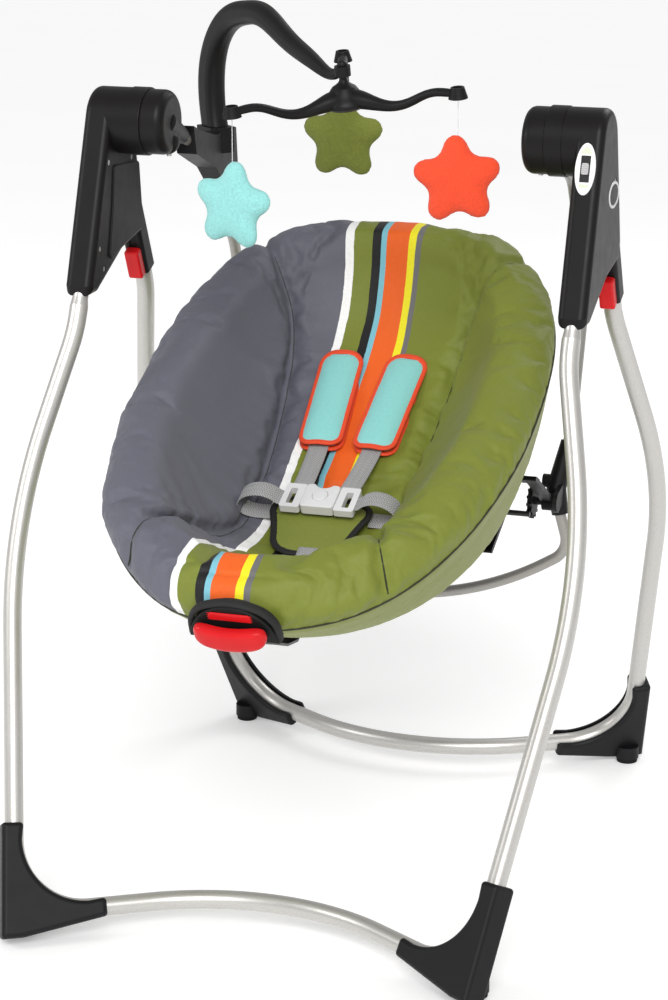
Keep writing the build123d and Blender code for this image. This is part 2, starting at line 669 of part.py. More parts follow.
def ribbon(plane, route, width, thickness):
    """A flat strap of one thickness that follows a route drawn on its plane."""
    with BuildPart() as strip:
        with BuildSketch(plane):
            with BuildLine():
                line = Polyline(*route)
                offset(line, amount=thickness / 2, side=Side.BOTH, kind=Kind.INTERSECTION)
            make_face()
        extrude(amount=width / 2, both=True)
    return strip


def shifted(route, run, rise=0.0):
    return [(a + run, b + rise) for a, b in route]


link_strip = ribbon(MID, LINK_ROUTE, 2 * LINK_HALF_W, LINK_T)
LATCH_HALF = 196.5
latch_bar = straight_rod(
    on_seat(-LATCH_HALF, latch_s, latch_depth), on_seat(LATCH_HALF, latch_s, latch_depth), 3.5
)
with BuildPart() as release_link:
    add(link_strip.part)
    add(latch_bar.part)
save(release_link, "release_link")

# Handle bezel: an arched surround on the front of the seat, open for the link.
# Local x of the front plane is world X, local y is depth, local z points forward.
front_plane = Plane(origin=on_seat(0, 720.0, 0), x_dir=(1, 0, 0), z_dir=-seat_plane.y_dir)
BEZEL_HALF, BEZEL_LOW, BEZEL_HIGH = 52.0, -20.0, 27.0
LINK_EXIT = (0.0, -16.0)


def arch(plane, grow=0.0):
    """The bezel's D-shaped face: flat below, arched above."""
    side, low = BEZEL_HALF + grow, BEZEL_LOW - grow
    with BuildSketch(plane) as face:
        with BuildLine():
            ThreePointArc((-side, low), (0.0, BEZEL_HIGH + grow), (side, low))
            Line((side, low), (-side, low))
        make_face()
    return face


with BuildPart() as handle_bezel:
    extrude(arch(front_plane).sketch, amount=17.0)
    fillet(handle_bezel.faces().sort_by(Axis(front_plane.origin, front_plane.z_dir))[-1].edges(), 2.0)
    with BuildSketch(front_plane):
        with Locations(LINK_EXIT):
            Rectangle(2 * LINK_HALF_W + 4.0, 14.0)
    extrude(amount=17.0, mode=Mode.SUBTRACT)
save(handle_bezel, "handle_bezel")

HANDLE_HALF, HANDLE_LOW, HANDLE_HIGH = 43.0, -22.0, 12.0
with BuildPart() as recline_handle:
    with BuildSketch(seat_plane.offset(HANDLE_LOW)):
        with BuildLine():
            Polyline((-HANDLE_HALF, -750.0), (-HANDLE_HALF, -742.0), (HANDLE_HALF, -742.0))
            Line((HANDLE_HALF, -742.0), (HANDLE_HALF, -750.0))
            ThreePointArc((HANDLE_HALF, -750.0), (0.0, -758.5), (-HANDLE_HALF, -750.0))
        make_face()
    extrude(amount=HANDLE_HIGH - HANDLE_LOW)
    fillet(recline_handle.edges().filter_by(Axis.X, reverse=True).filter_by(
        lambda e: e.length > 80.0 or e.length < 9.0), 3.0)
save(recline_handle, "recline_handle")

with BuildPart() as seat_pad:
    add(cover_outer.part)
    add(shell_outer.part, mode=Mode.SUBTRACT)
    add(shell_inner.part)
    add(hollow.part, mode=Mode.SUBTRACT)
    extrude(arch(front_plane.offset(-3.0), 0.4).sketch, amount=60.0, mode=Mode.SUBTRACT)
    front_route = LINK_ROUTE[2:]
    with BuildSketch(MID):
        with BuildLine():
            Polyline(
                *shifted(front_route, -3.0, 1.0), *reversed(shifted(front_route, 9.0, -4.0)),
                shifted(front_route, -3.0, 1.0)[0],
            )
        make_face()
    extrude(amount=LINK_HALF_W + 1.5, both=True, mode=Mode.SUBTRACT)
save(seat_pad, "seat_pad")

# Recline arms: an eye on the mount's pin, a rising run, and a run fixed under the shell.
ARM_X0, ARM_X1 = 207.3, 221.7
RAIL_X0, RAIL_X1 = 186.0, 200.0
rail_start, rail_end = on_seat(0, 284.0, -145.6), on_seat(0, 419.0, -145.6)
pin_centre = (RECLINE_Y, RECLINE_Z)
with BuildPart() as recline_arm:
    add(cross_rod(ARM_X0, ARM_X1, *pin_centre, 11.0).part)
    for x0, x1, route in (
        (ARM_X0, ARM_X1, [pin_centre, rail_start[1:]]),
        (RAIL_X0, ARM_X1, [(rail_start[1] + 14.0, rail_start[2] - 7.0), rail_start[1:]]),
        (RAIL_X0, RAIL_X1, [rail_start[1:], rail_end[1:]]),
    ):
        with BuildSketch(Plane.YZ.offset(x0)):
            with BuildLine():
                line = Polyline(*route)
                offset(line, amount=3.0, side=Side.BOTH, kind=Kind.ARC)
            make_face()
        extrude(amount=x1 - x0)
    add(cross_rod(190.0, 230.0, *pin_centre, 5.0 + RUNNING_FIT).part, mode=Mode.SUBTRACT)
save_both(recline_arm, "recline_arms")


# ---- harness -------------------------------------------------------------------------
BUCKLE_S, BUCKLE_TOP = 431.0, -71.0
BUTTON_R = 9.5
buckle_plane = seat_plane.offset(BUCKLE_TOP)
with BuildPart() as buckle_body:
    with BuildSketch(buckle_plane):
        with Locations((0.0, -BUCKLE_S)):
            RectangleRounded(42.0, 40.0, 5.0)
            with Locations((0.0, 27.0)):
                Circle(13.0, mode=Mode.SUBTRACT)
    extrude(amount=-13.0)
    fillet(buckle_body.faces().sort_by(Axis(buckle_plane.origin, buckle_plane.z_dir))[-1].edges(), 1.5)
    with BuildSketch(buckle_plane):
        with Locations((0.0, -BUCKLE_S)):
            Circle(BUTTON_R + SLIDING_GAP)
    extrude(amount=-9.0, mode=Mode.SUBTRACT)
save(buckle_body, "buckle_body")

with BuildPart() as buckle_button:
    with BuildSketch(buckle_plane.offset(-5.5)):
        with Locations((0.0, -BUCKLE_S)):
            Circle(BUTTON_R)
    extrude(amount=6.7)
    fillet(buckle_button.faces().sort_by(Axis(buckle_plane.origin, buckle_plane.z_dir))[-1].edges(), 1.6)
save(buckle_button, "buckle_button")

CLIP_X0, CLIP_X1 = 21.4, 46.0
with BuildPart() as buckle_clip:
    with BuildSketch(buckle_plane.offset(-2.0)):
        with Locations(((CLIP_X0 + CLIP_X1) / 2, -BUCKLE_S - 1.0)):
            RectangleRounded(CLIP_X1 - CLIP_X0, 42.0, 3.0)
            with Locations((1.0, -1.0)):
                RectangleRounded(8.5, 27.0, 1.5, mode=Mode.SUBTRACT)
    extrude(amount=-9.0)
save_both(buckle_clip, "buckle_clips")

SHOULDER = strap_plane(42.0, 187.0, -3.3)
shoulder_route = [(-46.0, -51.0), (0.0, -62.5), (147.0, -84.5), (219.0, -79.0)]
pad_route = [(-3.0, -60.5), (60.0, -69.5), (148.0, -82.5)]
waist_route = [(0.0, -78.0), (16.0, -64.0), (38.0, -66.0), (49.0, -77.0), (45.0, -86.0)]
with BuildPart() as straps:
    add(ribbon(SHOULDER, shoulder_route, WEB_W, WEB_T).part)
    add(ribbon(strap_plane(47.4, 434.0, 90.0), waist_route, WEB_W, WEB_T).part)
save_both(straps, "harness_straps")

with BuildPart() as shoulder_pad:
    add(ribbon(SHOULDER, pad_route, 44.0, 16.0).part)
    add(ribbon(SHOULDER, shoulder_route, WEB_W + 1.0, WEB_T + 1.0).part, mode=Mode.SUBTRACT)
save_both(shoulder_pad, "shoulder_pads")

with BuildPart() as crotch_pad:
    with BuildSketch(seat_plane.offset(-99.0)):
        with BuildLine():
            Polyline((-52.0, -438.0), (52.0, -438.0), (30.0, -508.0), (-30.0, -508.0), (-52.0, -438.0))
        make_face()
    extrude(amount=7.0)
    fillet(crotch_pad.edges().filter_by(Axis((0, 0, 0), seat_plane.z_dir)), 8.0)
save(crotch_pad, "crotch_pad")


# ---- mobile --------------------------------------------------------------------------
ARM_FOOT = (-233.0, 177.0)
ARM_DIR = Vector(0.7625, -0.6470, 0.0).normalized()
ARM_SIDE = ARM_DIR.cross(Vector(0, 0, 1))
CLAMP_TOP_Z = 868.0
HUB_XY = (0.0, -15.0)

# Clamp: a collar round the swing tube, a socket block and two fingers down the tube.
clamp_line = [across(SWING_START), across(SWING_A), across(SWING_B)]
clamp_bore = bent_rod(clamp_line, [60.0], FIT_R)
socket_plane = Plane(
    origin=(ARM_FOOT[0], ARM_FOOT[1], 836.0), x_dir=ARM_DIR, z_dir=(0, 0, 1)
)
with BuildPart() as mobile_clamp:
    with BuildSketch(Plane.YZ.offset(-SWING_A[0] - 13.0)):
        with BuildLine():
            Polyline(
                (63.0, 884.0), (84.0, 876.0), (140.0, 862.0), (214.0, 862.0), (219.0, 818.0),
                (209.0, 801.0), (216.0, 772.0), (190.0, 762.0), (170.0, 796.0), (140.0, 821.0),
                (72.0, 848.0), (63.0, 884.0),
            )
        make_face()
    extrude(amount=26.0)
    with BuildSketch(socket_plane):
        RectangleRounded(44.0, 34.0, 5.0)
    extrude(amount=CLAMP_TOP_Z - 836.0)
    with BuildSketch(socket_plane.offset(4.0)):
        Rectangle(24.0 + 2 * SLIDING_GAP, 16.0 + 2 * SLIDING_GAP)
    extrude(amount=40.0, mode=Mode.SUBTRACT)
    add(clamp_bore.part, mode=Mode.SUBTRACT)
    finger_low, finger_high = along(SWING_B, SWING_A, 60.0), along(SWING_B, SWING_A, 128.0)
    with BuildSketch(Plane(origin=across(finger_low), x_dir=(1, 0, 0),
                           z_dir=Vector(*finger_high) - Vector(*finger_low))):
        Rectangle(40.0, 2 * FIT_R)
    extrude(amount=68.0, mode=Mode.SUBTRACT)
save(mobile_clamp, "mobile_clamp")

# Arm: straight out of the socket, over in a hook and down to the hanger ring.
ARM_LINE = [
    (-2, 868.5), (-9, 904), (-8, 938), (5, 973), (37, 1004), (83, 1017), (125, 1016),
    (164, 1000), (205, 984), (243, 972), (297, 969),
]
ARM_WIDTHS = [36, 36, 36, 34, 32, 30, 28, 25, 22, 18, 14]
ARM_DEPTHS = [28, 28, 28, 27, 26, 26, 25, 22, 20, 17, 12]


def arm_point(t, z):
    return Vector(ARM_FOOT[0], ARM_FOOT[1], z) + ARM_DIR * t


arm_sections = []
for i, (t, z) in enumerate(ARM_LINE):
    before, after = ARM_LINE[max(i - 1, 0)], ARM_LINE[min(i + 1, len(ARM_LINE) - 1)]
    tangent = arm_point(*after) - arm_point(*before)
    if i == 0:
        tangent = Vector(0, 0, 1)
    with BuildSketch(Plane(origin=arm_point(t, z), x_dir=ARM_SIDE, z_dir=tangent)) as section:
        RectangleRounded(ARM_DEPTHS[i], ARM_WIDTHS[i], 0.42 * ARM_DEPTHS[i])
    arm_sections.append(section.sketch)

HANG_Z = 937.0
swivel_up = Vector(-0.045, -0.136, 1.0).normalized()
hang_plane = Plane(origin=(*HUB_XY, HANG_Z), x_dir=(1, 0, 0.045), z_dir=swivel_up)
BALL_HEIGHT, RING_LOW, RING_HIGH = 40.0, 27.0, 39.0
NECK_R, BALL_R, RING_R = 4.0, 6.0, 9.5

with BuildPart() as mobile_arm:
    loft(arm_sections)
    with BuildSketch(socket_plane.offset(5.0)):
        Rectangle(24.0, 16.0)
    extrude(amount=CLAMP_TOP_Z - 836.0 - 4.0)
    with BuildSketch(hang_plane.offset(RING_LOW)):
        Circle(RING_R)
    extrude(amount=RING_HIGH - RING_LOW)
    with BuildSketch(hang_plane.offset(RING_LOW)):
        Circle(NECK_R + SLIDING_GAP)
    extrude(amount=30.0, mode=Mode.SUBTRACT)
    with Locations(hang_plane.from_local_coords((0, 0, BALL_HEIGHT))):
        Sphere(BALL_R + SLIDING_GAP, mode=Mode.SUBTRACT)
    with BuildSketch(hang_plane.offset(BALL_HEIGHT)):
        Circle(BALL_R + SLIDING_GAP)
    extrude(amount=12.0, mode=Mode.SUBTRACT)
save(mobile_arm, "mobile_arm")

# Hanger: cone, neck and ball, with three wavy arms that end in cups.
HANGER_AZIMUTHS = {"green": 108.0, "teal": 228.0, "orange": 348.0}
TIP_REACH, TIP_RISE = 150.0, 16.0
HANGER_WAVE = [(10, 1), (34, -3), (58, -6), (84, -1), (108, 10), (130, 14), (146, 14)]
HANGER_W = [26, 20, 13, 12, 12, 12, 11]
HANGER_H = [22, 18, 13, 11, 10, 10, 8]


def hanger_point(azimuth, reach, rise):
    turn = math.radians(azimuth)
    return hang_plane.from_local_coords((reach * math.cos(turn), reach * math.sin(turn), rise))


def hanger_arm(azimuth):
    """One wavy arm, lofted from flattened ovals."""
    sections = []
    side = hanger_point(azimuth + 90.0, 1, 0) - hanger_point(0, 0, 0)
    for i, (reach, rise) in enumerate(HANGER_WAVE):
        before = HANGER_WAVE[max(i - 1, 0)]
        after = HANGER_WAVE[min(i + 1, len(HANGER_WAVE) - 1)]
        tangent = hanger_point(azimuth, *after) - hanger_point(azimuth, *before)
        place = Plane(origin=hanger_point(azimuth, reach, rise), x_dir=side, z_dir=tangent)
        with BuildSketch(place) as section:
            Ellipse(HANGER_W[i] / 2, HANGER_H[i] / 2)
        sections.append(section.sketch)
    with BuildPart() as arm:
        loft(sections)
    return arm


with BuildPart() as mobile_hanger:
    cone_plane = Plane(origin=hang_plane.origin, x_dir=(1, 0, 0.045), z_dir=(0, -1, -0.136))
    with BuildSketch(cone_plane):
        with BuildLine():
            Polyline((0.0, -12.0), (20.0, -12.0), (27.0, -8.0))
            Spline((27.0, -8.0), (21.0, 4.0), (14.0, 14.0), tangents=((0.1, 1.0), (-1.0, 1.2)))
            Spline((14.0, 14.0), (6.0, 20.0), (NECK_R, 26.0), tangents=((-1.0, 0.6), (0.0, 1.0)))
            Polyline((NECK_R, 26.0), (NECK_R, 38.0), (0.0, 38.0), (0.0, -12.0))
        make_face()
    revolve(axis=Axis(hang_plane.origin, swivel_up))
    with Locations(hang_plane.from_local_coords((0, 0, BALL_HEIGHT))):
        Sphere(BALL_R)
    for azimuth in HANGER_AZIMUTHS.values():
        add(hanger_arm(azimuth).part)
        low = hanger_point(azimuth, TIP_REACH, TIP_RISE - 8.0)
        high = hanger_point(azimuth, TIP_REACH, TIP_RISE + 5.0)
        add(straight_rod(low, high, 11.5, 8.0).part)
    for azimuth in HANGER_AZIMUTHS.values():
        low = hanger_point(azimuth, TIP_REACH, TIP_RISE - 1.0)
        high = hanger_point(azimuth, TIP_REACH, TIP_RISE + 6.0)
        add(straight_rod(low, high, 5.2, 5.8).part, mode=Mode.SUBTRACT)
save(mobile_hanger, "mobile_hanger")

STRING_R = 0.5
STRING_DROP = {"green": 50.0, "teal": 59.0, "orange": 51.0}
STAR_OUTER, STAR_INNER, STAR_HALF = 54.0, 31.0, 17.5


def star_points(scale):
    tips = []
    for k in range(10):
        reach = (STAR_OUTER if k % 2 == 0 else STAR_INNER) * scale
        turn = math.radians(90.0 + 36.0 * k)
        tips.append((reach * math.cos(turn), reach * math.sin(turn)))
    return tips


for colour, azimuth in HANGER_AZIMUTHS.items():
    hook = hanger_point(azimuth, TIP_REACH, TIP_RISE - 8.4)
    top = hook - Vector(0, 0, STRING_DROP[colour] - 8.0)
    centre = top - Vector(0, 0, STAR_OUTER - 3.0)
    face_plane = Plane(origin=centre, x_dir=(1, 0, 0), z_dir=(0, -1, 0))
    with BuildPart() as star:
        for depth in (STAR_HALF, -STAR_HALF):
            faces = []
            for reach, scale in ((0.0, 1.0), (0.65 * depth, 0.86), (depth, 0.45)):
                with BuildSketch(face_plane.offset(reach)) as ring:
                    Polygon(*star_points(scale), align=None)
                faces.append(ring.sketch)
            loft(faces, ruled=True)
    save(star, f"star_{colour}")
    save(straight_rod(tuple(hook), tuple(top), STRING_R), f"string_{colour}")
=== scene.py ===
import json
import math

import bmesh
import bpy
import numpy as np
from mathutils import Matrix, Vector, kdtree, noise
from mathutils.bvhtree import BVHTree


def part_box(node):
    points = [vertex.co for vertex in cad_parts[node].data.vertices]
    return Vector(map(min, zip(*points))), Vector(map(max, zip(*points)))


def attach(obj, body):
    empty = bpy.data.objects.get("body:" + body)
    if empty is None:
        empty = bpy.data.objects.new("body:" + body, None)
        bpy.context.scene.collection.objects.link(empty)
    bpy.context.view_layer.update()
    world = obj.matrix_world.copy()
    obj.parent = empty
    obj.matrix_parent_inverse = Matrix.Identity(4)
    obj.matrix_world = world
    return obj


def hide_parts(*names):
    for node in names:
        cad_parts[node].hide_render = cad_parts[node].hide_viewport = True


# Baby swing. Metres in the scene; the seat's own coordinates below are millimetres on its
# rim plane: x to the right, s forward from the rear of the rim, d square to the rim, up.

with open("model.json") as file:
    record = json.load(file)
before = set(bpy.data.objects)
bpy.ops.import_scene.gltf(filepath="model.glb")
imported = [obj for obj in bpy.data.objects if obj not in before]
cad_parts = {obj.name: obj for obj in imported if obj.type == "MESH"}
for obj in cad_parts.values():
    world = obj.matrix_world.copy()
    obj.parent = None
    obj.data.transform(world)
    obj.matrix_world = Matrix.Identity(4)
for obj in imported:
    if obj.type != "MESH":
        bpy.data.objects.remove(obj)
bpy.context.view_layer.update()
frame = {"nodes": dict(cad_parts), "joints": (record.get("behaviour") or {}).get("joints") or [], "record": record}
SCENE = bpy.context.scene
MM = 0.001

joints = {joint["name"]: joint for joint in frame["joints"]}
FORWARD = Vector(joints["recline_pull"]["axis"]).normalized()
RIGHT = Vector((1.0, 0.0, 0.0))
SEAT_UP = RIGHT.cross(-FORWARD)
SEAT_TOP = Vector((0.0, 0.249, 0.730))      # rear of the rim, as in the CAD


def on_seat(x, s, d):
    """The point of the room at seat coordinates in millimetres."""
    return SEAT_TOP + (RIGHT * x + FORWARD * s + SEAT_UP * d) * MM


def to_seat(points):
    """Seat coordinates, in millimetres, of an array of points of the room."""
    axes = np.array([RIGHT, FORWARD, SEAT_UP]).T
    return (points - np.array(SEAT_TOP)) @ axes / MM


# ---- camera, floor and light ---------------------------------------------------------------
CAMERA_PLACE = (1.0412, -3.2440, 1.3969)
CAMERA_LOOK = (-0.2990, 0.9155, -0.2690)
LENS, SENSOR = 104.4, 36.0
MIDDLE = (0.0, 0.0, 0.5)


def add_camera():
    data = bpy.data.cameras.new("camera")
    data.lens = LENS
    data.sensor_width = SENSOR
    camera = bpy.data.objects.new("camera", data)
    SCENE.collection.objects.link(camera)
    camera.location = CAMERA_PLACE
    camera.rotation_euler = Vector(CAMERA_LOOK).to_track_quat("-Z", "Y").to_euler()
    SCENE.camera = camera


def add_area_light(name, location, size, power):
    """A round soft light aimed at the middle of the swing."""
    data = bpy.data.lights.new(name, "AREA")
    data.shape = "DISK"
    data.size = size
    data.energy = power
    lamp = bpy.data.objects.new(name, data)
    SCENE.collection.objects.link(lamp)
    lamp.location = location
    lamp.rotation_euler = (Vector(MIDDLE) - Vector(location)).to_track_quat("-Z", "Y").to_euler()


def add_sun(name, towards, strength, spread):
    """Even light in the direction towards, softened over spread degrees."""
    data = bpy.data.lights.new(name, "SUN")
    data.energy = strength
    data.angle = math.radians(spread)
    sun = bpy.data.objects.new(name, data)
    SCENE.collection.objects.link(sun)
    sun.rotation_euler = Vector(towards).to_track_quat("-Z", "Y").to_euler()


def add_world(strength):
    world = bpy.data.worlds.new("studio")
    world.use_nodes = True
    background = world.node_tree.nodes["Background"]
    background.inputs["Color"].default_value = (1.0, 1.0, 1.0, 1.0)
    background.inputs["Strength"].default_value = strength
    SCENE.world = world


add_camera()
add_world(0.43)
add_sun("key", (-0.25, 0.80, -0.58), strength=2.15, spread=32.0)
add_area_light("left", (-2.4, -1.6, 1.9), size=1.3, power=24.0)
add_area_light("fill", (2.8, -1.8, 1.9), size=2.4, power=8.0)
add_area_light("back", (0.9, 2.6, 2.6), size=1.8, power=26.0)
SCENE.view_settings.view_transform = "Standard"


# ---- materials -----------------------------------------------------------------------------
class Shader:
    """A material and short calls for the nodes it is made of."""

    def __init__(self, name, colour=(0.5, 0.5, 0.5), roughness=0.5, **sockets):
        self.material = bpy.data.materials.new(name)
        self.material.use_nodes = True
        self.nodes = self.material.node_tree.nodes
        self.links = self.material.node_tree.links
        self.bsdf = self.nodes["Principled BSDF"]
        self.set("Base Color", (*colour, 1.0))
        self.set("Roughness", roughness)
        for socket, value in sockets.items():
            self.set(socket.replace("_", " "), value)

    def set(self, socket, value):
        self.bsdf.inputs[socket].default_value = value

    def add(self, kind, **values):
        node = self.nodes.new(kind)
        for name, value in values.items():
            setattr(node, name, value)
        return node

    def link(self, out, into):
        self.links.new(out, into)

    def place(self, attribute=None):
        """Where a texture is read: the object's own coordinates or a stored attribute."""
        if attribute:
            return self.add("ShaderNodeAttribute", attribute_name=attribute).outputs["Vector"]
        return self.add("ShaderNodeTexCoord").outputs["Object"]

    def noise(self, where, scale, detail=3.0, roughness=0.5):
        node = self.add("ShaderNodeTexNoise")
        node.inputs["Scale"].default_value = scale
        node.inputs["Detail"].default_value = detail
        node.inputs["Roughness"].default_value = roughness
        self.link(where, node.inputs["Vector"])
        return node.outputs["Fac"]

    def wave(self, where, scale, direction):
        node = self.add("ShaderNodeTexWave", bands_direction=direction)
        node.inputs["Scale"].default_value = scale
        self.link(where, node.inputs["Vector"])
        return node.outputs["Fac"]

    def math(self, operation, a, b):
        node = self.add("ShaderNodeMath", operation=operation)
        for socket, value in zip(node.inputs, (a, b)):
            if isinstance(value, (int, float)):
                socket.default_value = value
            else:
                self.link(value, socket)
        return node.outputs[0]

    def ramp(self, factor, stops, interpolation="LINEAR"):
        node = self.add("ShaderNodeValToRGB")
        node.color_ramp.interpolation = interpolation
        elements = node.color_ramp.elements
        while len(elements) < len(stops):
            elements.new(0.5)
        for element, (position, colour) in zip(elements, stops):
            element.position = position
            element.color = (*colour, 1.0)
        self.link(factor, node.inputs["Fac"])
        return node.outputs["Color"]

    def varied(self, colour, factor, amount):
        """The colour, a little darker and lighter with the factor."""
        low = tuple(c * (1.0 - amount) for c in colour)
        high = tuple(min(1.0, c * (1.0 + amount)) for c in colour)
        return self.ramp(factor, [(0.25, low), (0.75, high)])

    def bump(self, height, distance, strength=1.0, under=None):
        node = self.add("ShaderNodeBump")
        node.inputs["Distance"].default_value = distance
        node.inputs["Strength"].default_value = strength
        self.link(height, node.inputs["Height"])
        if under is not None:
            self.link(under, node.inputs["Normal"])
        return node.outputs["Normal"]

    def rough(self, factor, low, high):
        node = self.add("ShaderNodeMapRange")
        node.inputs["To Min"].default_value = low
        node.inputs["To Max"].default_value = high
        self.link(factor, node.inputs["Value"])
        self.link(node.outputs["Result"], self.bsdf.inputs["Roughness"])


def moulded(name, colour, roughness, **sockets):
    """Moulded plastic: a fine spark-eroded grain, faint flow marks and uneven gloss."""
    shader = Shader(name, colour, roughness, **sockets)
    where = shader.place()
    broad = shader.noise(where, 14.0, 4.0)
    shader.link(shader.varied(colour, broad, 0.12), shader.bsdf.inputs["Base Color"])
    shader.rough(shader.noise(where, 60.0, 5.0), roughness - 0.06, roughness + 0.08)
    fine = shader.noise(where, 900.0, 2.0)
    normal = shader.bump(broad, 0.0004, 0.25)
    shader.link(shader.bump(fine, 0.00012, 0.8, normal), shader.bsdf.inputs["Normal"])
    return shader.material


def painted(name, colour, metallic, roughness):
    """Powder-coated tube: metal flake, faint orange peel and rubbed patches."""
    shader = Shader(name, colour, roughness, Metallic=metallic, Coat_Weight=0.25,
                    Coat_Roughness=0.25)
    where = shader.place()
    flake = shader.noise(where, 1400.0, 1.0)
    shader.link(shader.varied(colour, flake, 0.16), shader.bsdf.inputs["Base Color"])
    shader.rough(shader.noise(where, 25.0, 5.0), roughness - 0.05, roughness + 0.1)
    peel = shader.bump(shader.noise(where, 420.0, 2.0), 0.00006, 0.6)
    shader.link(peel, shader.bsdf.inputs["Normal"])
    return shader.material


def weave_height(shader, where, pitch):
    """Over-and-under threads at a pitch in the units of where."""
    scale = math.pi / 10.0 / pitch
    threads = [shader.wave(where, scale, axis) for axis in "XYZ"]
    crossed = shader.math("MULTIPLY", threads[0], threads[1])
    return shader.math("ADD", crossed, shader.math("MULTIPLY", threads[2], 0.5))


def cloth_finish(shader, where, pitch, depth):
    """Bump for the threads of a weave and the slubs in its yarn."""
    weave = shader.bump(weave_height(shader, where, pitch), depth, 0.9)
    uneven = shader.noise(shader.place(), 520.0, 3.0)
    shader.link(shader.bump(uneven, 0.00008, 0.8, weave), shader.bsdf.inputs["Normal"])


def fabric(name, colour, roughness=0.75, pitch=0.0007, depth=0.00012, mottle=0.08, sheen=0.12):
    """Plain woven cloth with slubs and an uneven dye."""
    shader = Shader(name, colour, roughness, Sheen_Weight=sheen, Sheen_Roughness=0.45)
    where = shader.place()
    dye = shader.noise(where, 380.0, 4.0, 0.7)
    shader.link(shader.varied(colour, dye, mottle), shader.bsdf.inputs["Base Color"])
    cloth_finish(shader, where, pitch, depth)
    return shader.material


SLATE = (0.125, 0.127, 0.158)
OLIVE = (0.190, 0.222, 0.030)
LIGHT_OLIVE = (0.215, 0.245, 0.045)
WHITE = (0.95, 0.95, 0.94)
BLACK = (0.010, 0.010, 0.011)
SKY = (0.205, 0.520, 0.620)
ORANGE = (0.850, 0.130, 0.014)
YELLOW = (0.900, 0.800, 0.020)
GREY = (0.165, 0.160, 0.158)
TEAL = (0.255, 0.625, 0.600)
BINDING = (0.780, 0.060, 0.010)

# The cover's bands run from rear to front at constant x: left edge in mm, colour.
BANDS = [
    (-73.0, WHITE), (-63.0, OLIVE), (-40.0, BLACK), (-29.0, SKY), (-22.0, ORANGE),
    (6.0, YELLOW), (15.0, GREY), (22.0, OLIVE),
]
BAND_SPAN = 200.0           # mm of x that the colour ramp covers, centred on the bands
BAND_OFFSET = 18.0          # mm that the bands lie to the right at the rear of the rim
BAND_SLANT = 0.034          # mm that they drift left for each mm forward

# The piping runs round the outside at one depth and dips towards the front; below it the
# panel is cut from lighter cloth. All in seat millimetres.
PIPING_D, PIPING_DIP, DIP_START, DIP_END = -6.0, 17.0, 470.0, 700.0


def banded_cover():
    """The seat cover: slate on the left, olive on the right, bands between, and the panel."""
    shader = Shader("cover_fabric", OLIVE, 0.5, Sheen_Weight=0.06, Sheen_Roughness=0.4,
                    Specular_IOR_Level=0.3)
    split = shader.add("ShaderNodeSeparateXYZ")
    rest = shader.place("rest")
    shader.link(rest, split.inputs[0])
    factor = shader.add("ShaderNodeMapRange")
    factor.inputs["From Min"].default_value = BAND_OFFSET - BAND_SPAN / 2
    factor.inputs["From Max"].default_value = BAND_OFFSET + BAND_SPAN / 2
    drift = shader.math("MULTIPLY", split.outputs["Y"], BAND_SLANT)
    shader.link(shader.math("ADD", split.outputs["X"], drift), factor.inputs["Value"])
    stops = [(0.0, SLATE)] + [(0.5 + x / BAND_SPAN, colour) for x, colour in BANDS]
    bands = shader.ramp(factor.outputs["Result"], stops, "CONSTANT")
    dye = shader.ramp(shader.noise(rest, 0.35, 4.0, 0.7), [(0.3, (0.9,) * 3), (0.7, (1.0,) * 3)])
    edge = shader.add("ShaderNodeMapRange", interpolation_type="SMOOTHSTEP")
    for socket, value in (("From Min", DIP_START), ("From Max", DIP_END),
                          ("To Min", PIPING_D), ("To Max", PIPING_D - PIPING_DIP)):
        edge.inputs[socket].default_value = value
    shader.link(split.outputs["Y"], edge.inputs["Value"])
    below = shader.math("LESS_THAN", split.outputs["Z"], edge.outputs["Result"])
    outward = shader.add("ShaderNodeAttribute", attribute_name="outward").outputs["Fac"]
    panel = shader.add("ShaderNodeMix", data_type="RGBA")
    panel.inputs["B"].default_value = (*LIGHT_OLIVE, 1.0)
    shader.link(shader.math("MULTIPLY", below, outward), panel.inputs["Factor"])
    shader.link(bands, panel.inputs["A"])
    mix = shader.add("ShaderNodeMix", data_type="RGBA", blend_type="MULTIPLY")
    mix.inputs["Factor"].default_value = 1.0
    shader.link(panel.outputs["Result"], mix.inputs["A"])
    shader.link(dye, mix.inputs["B"])
    shader.link(mix.outputs["Result"], shader.bsdf.inputs["Base Color"])
    shader.rough(shader.noise(rest, 0.02, 3.0), 0.44, 0.6)
    cloth_finish(shader, rest, 0.7, 0.00008)
    return shader.material


CHEVRON_HALF_WIDTH, RIB_HALF_PITCH, CHEVRON_SLANT = 0.0042, 0.0016, 0.9     # metres of UV


def webbing(name, colour):
    """Narrow webbing with a chevron weave and painted shade in its rib troughs; its UVs are metres across and
    along.
    """
    shader = Shader(name, colour, 0.6, Sheen_Weight=0.2)
    split = shader.add("ShaderNodeSeparateXYZ")
    shader.link(shader.add("ShaderNodeTexCoord").outputs["UV"], split.inputs[0])
    fold = shader.math("PINGPONG", split.outputs["X"], CHEVRON_HALF_WIDTH)
    slanted = shader.math("ADD", split.outputs["Y"], shader.math("MULTIPLY", fold, CHEVRON_SLANT))
    ribs = shader.math("PINGPONG", slanted, RIB_HALF_PITCH)
    height = shader.math("MULTIPLY", ribs, 620.0)
    # Painted shade: the colour drops to 0.4 of itself in the troughs between the ribs, where shade would fall.
    painted_groove_shade = shader.ramp(height, [(0.1, tuple(c * 0.4 for c in colour)), (0.7, colour)])
    shader.link(painted_groove_shade, shader.bsdf.inputs["Base Color"])
    shader.link(shader.bump(height, 0.00045, 1.0), shader.bsdf.inputs["Normal"])
    return shader.material


DULL = {"Specular_IOR_Level": 0.2}         # dark plastics that mirror little of the room

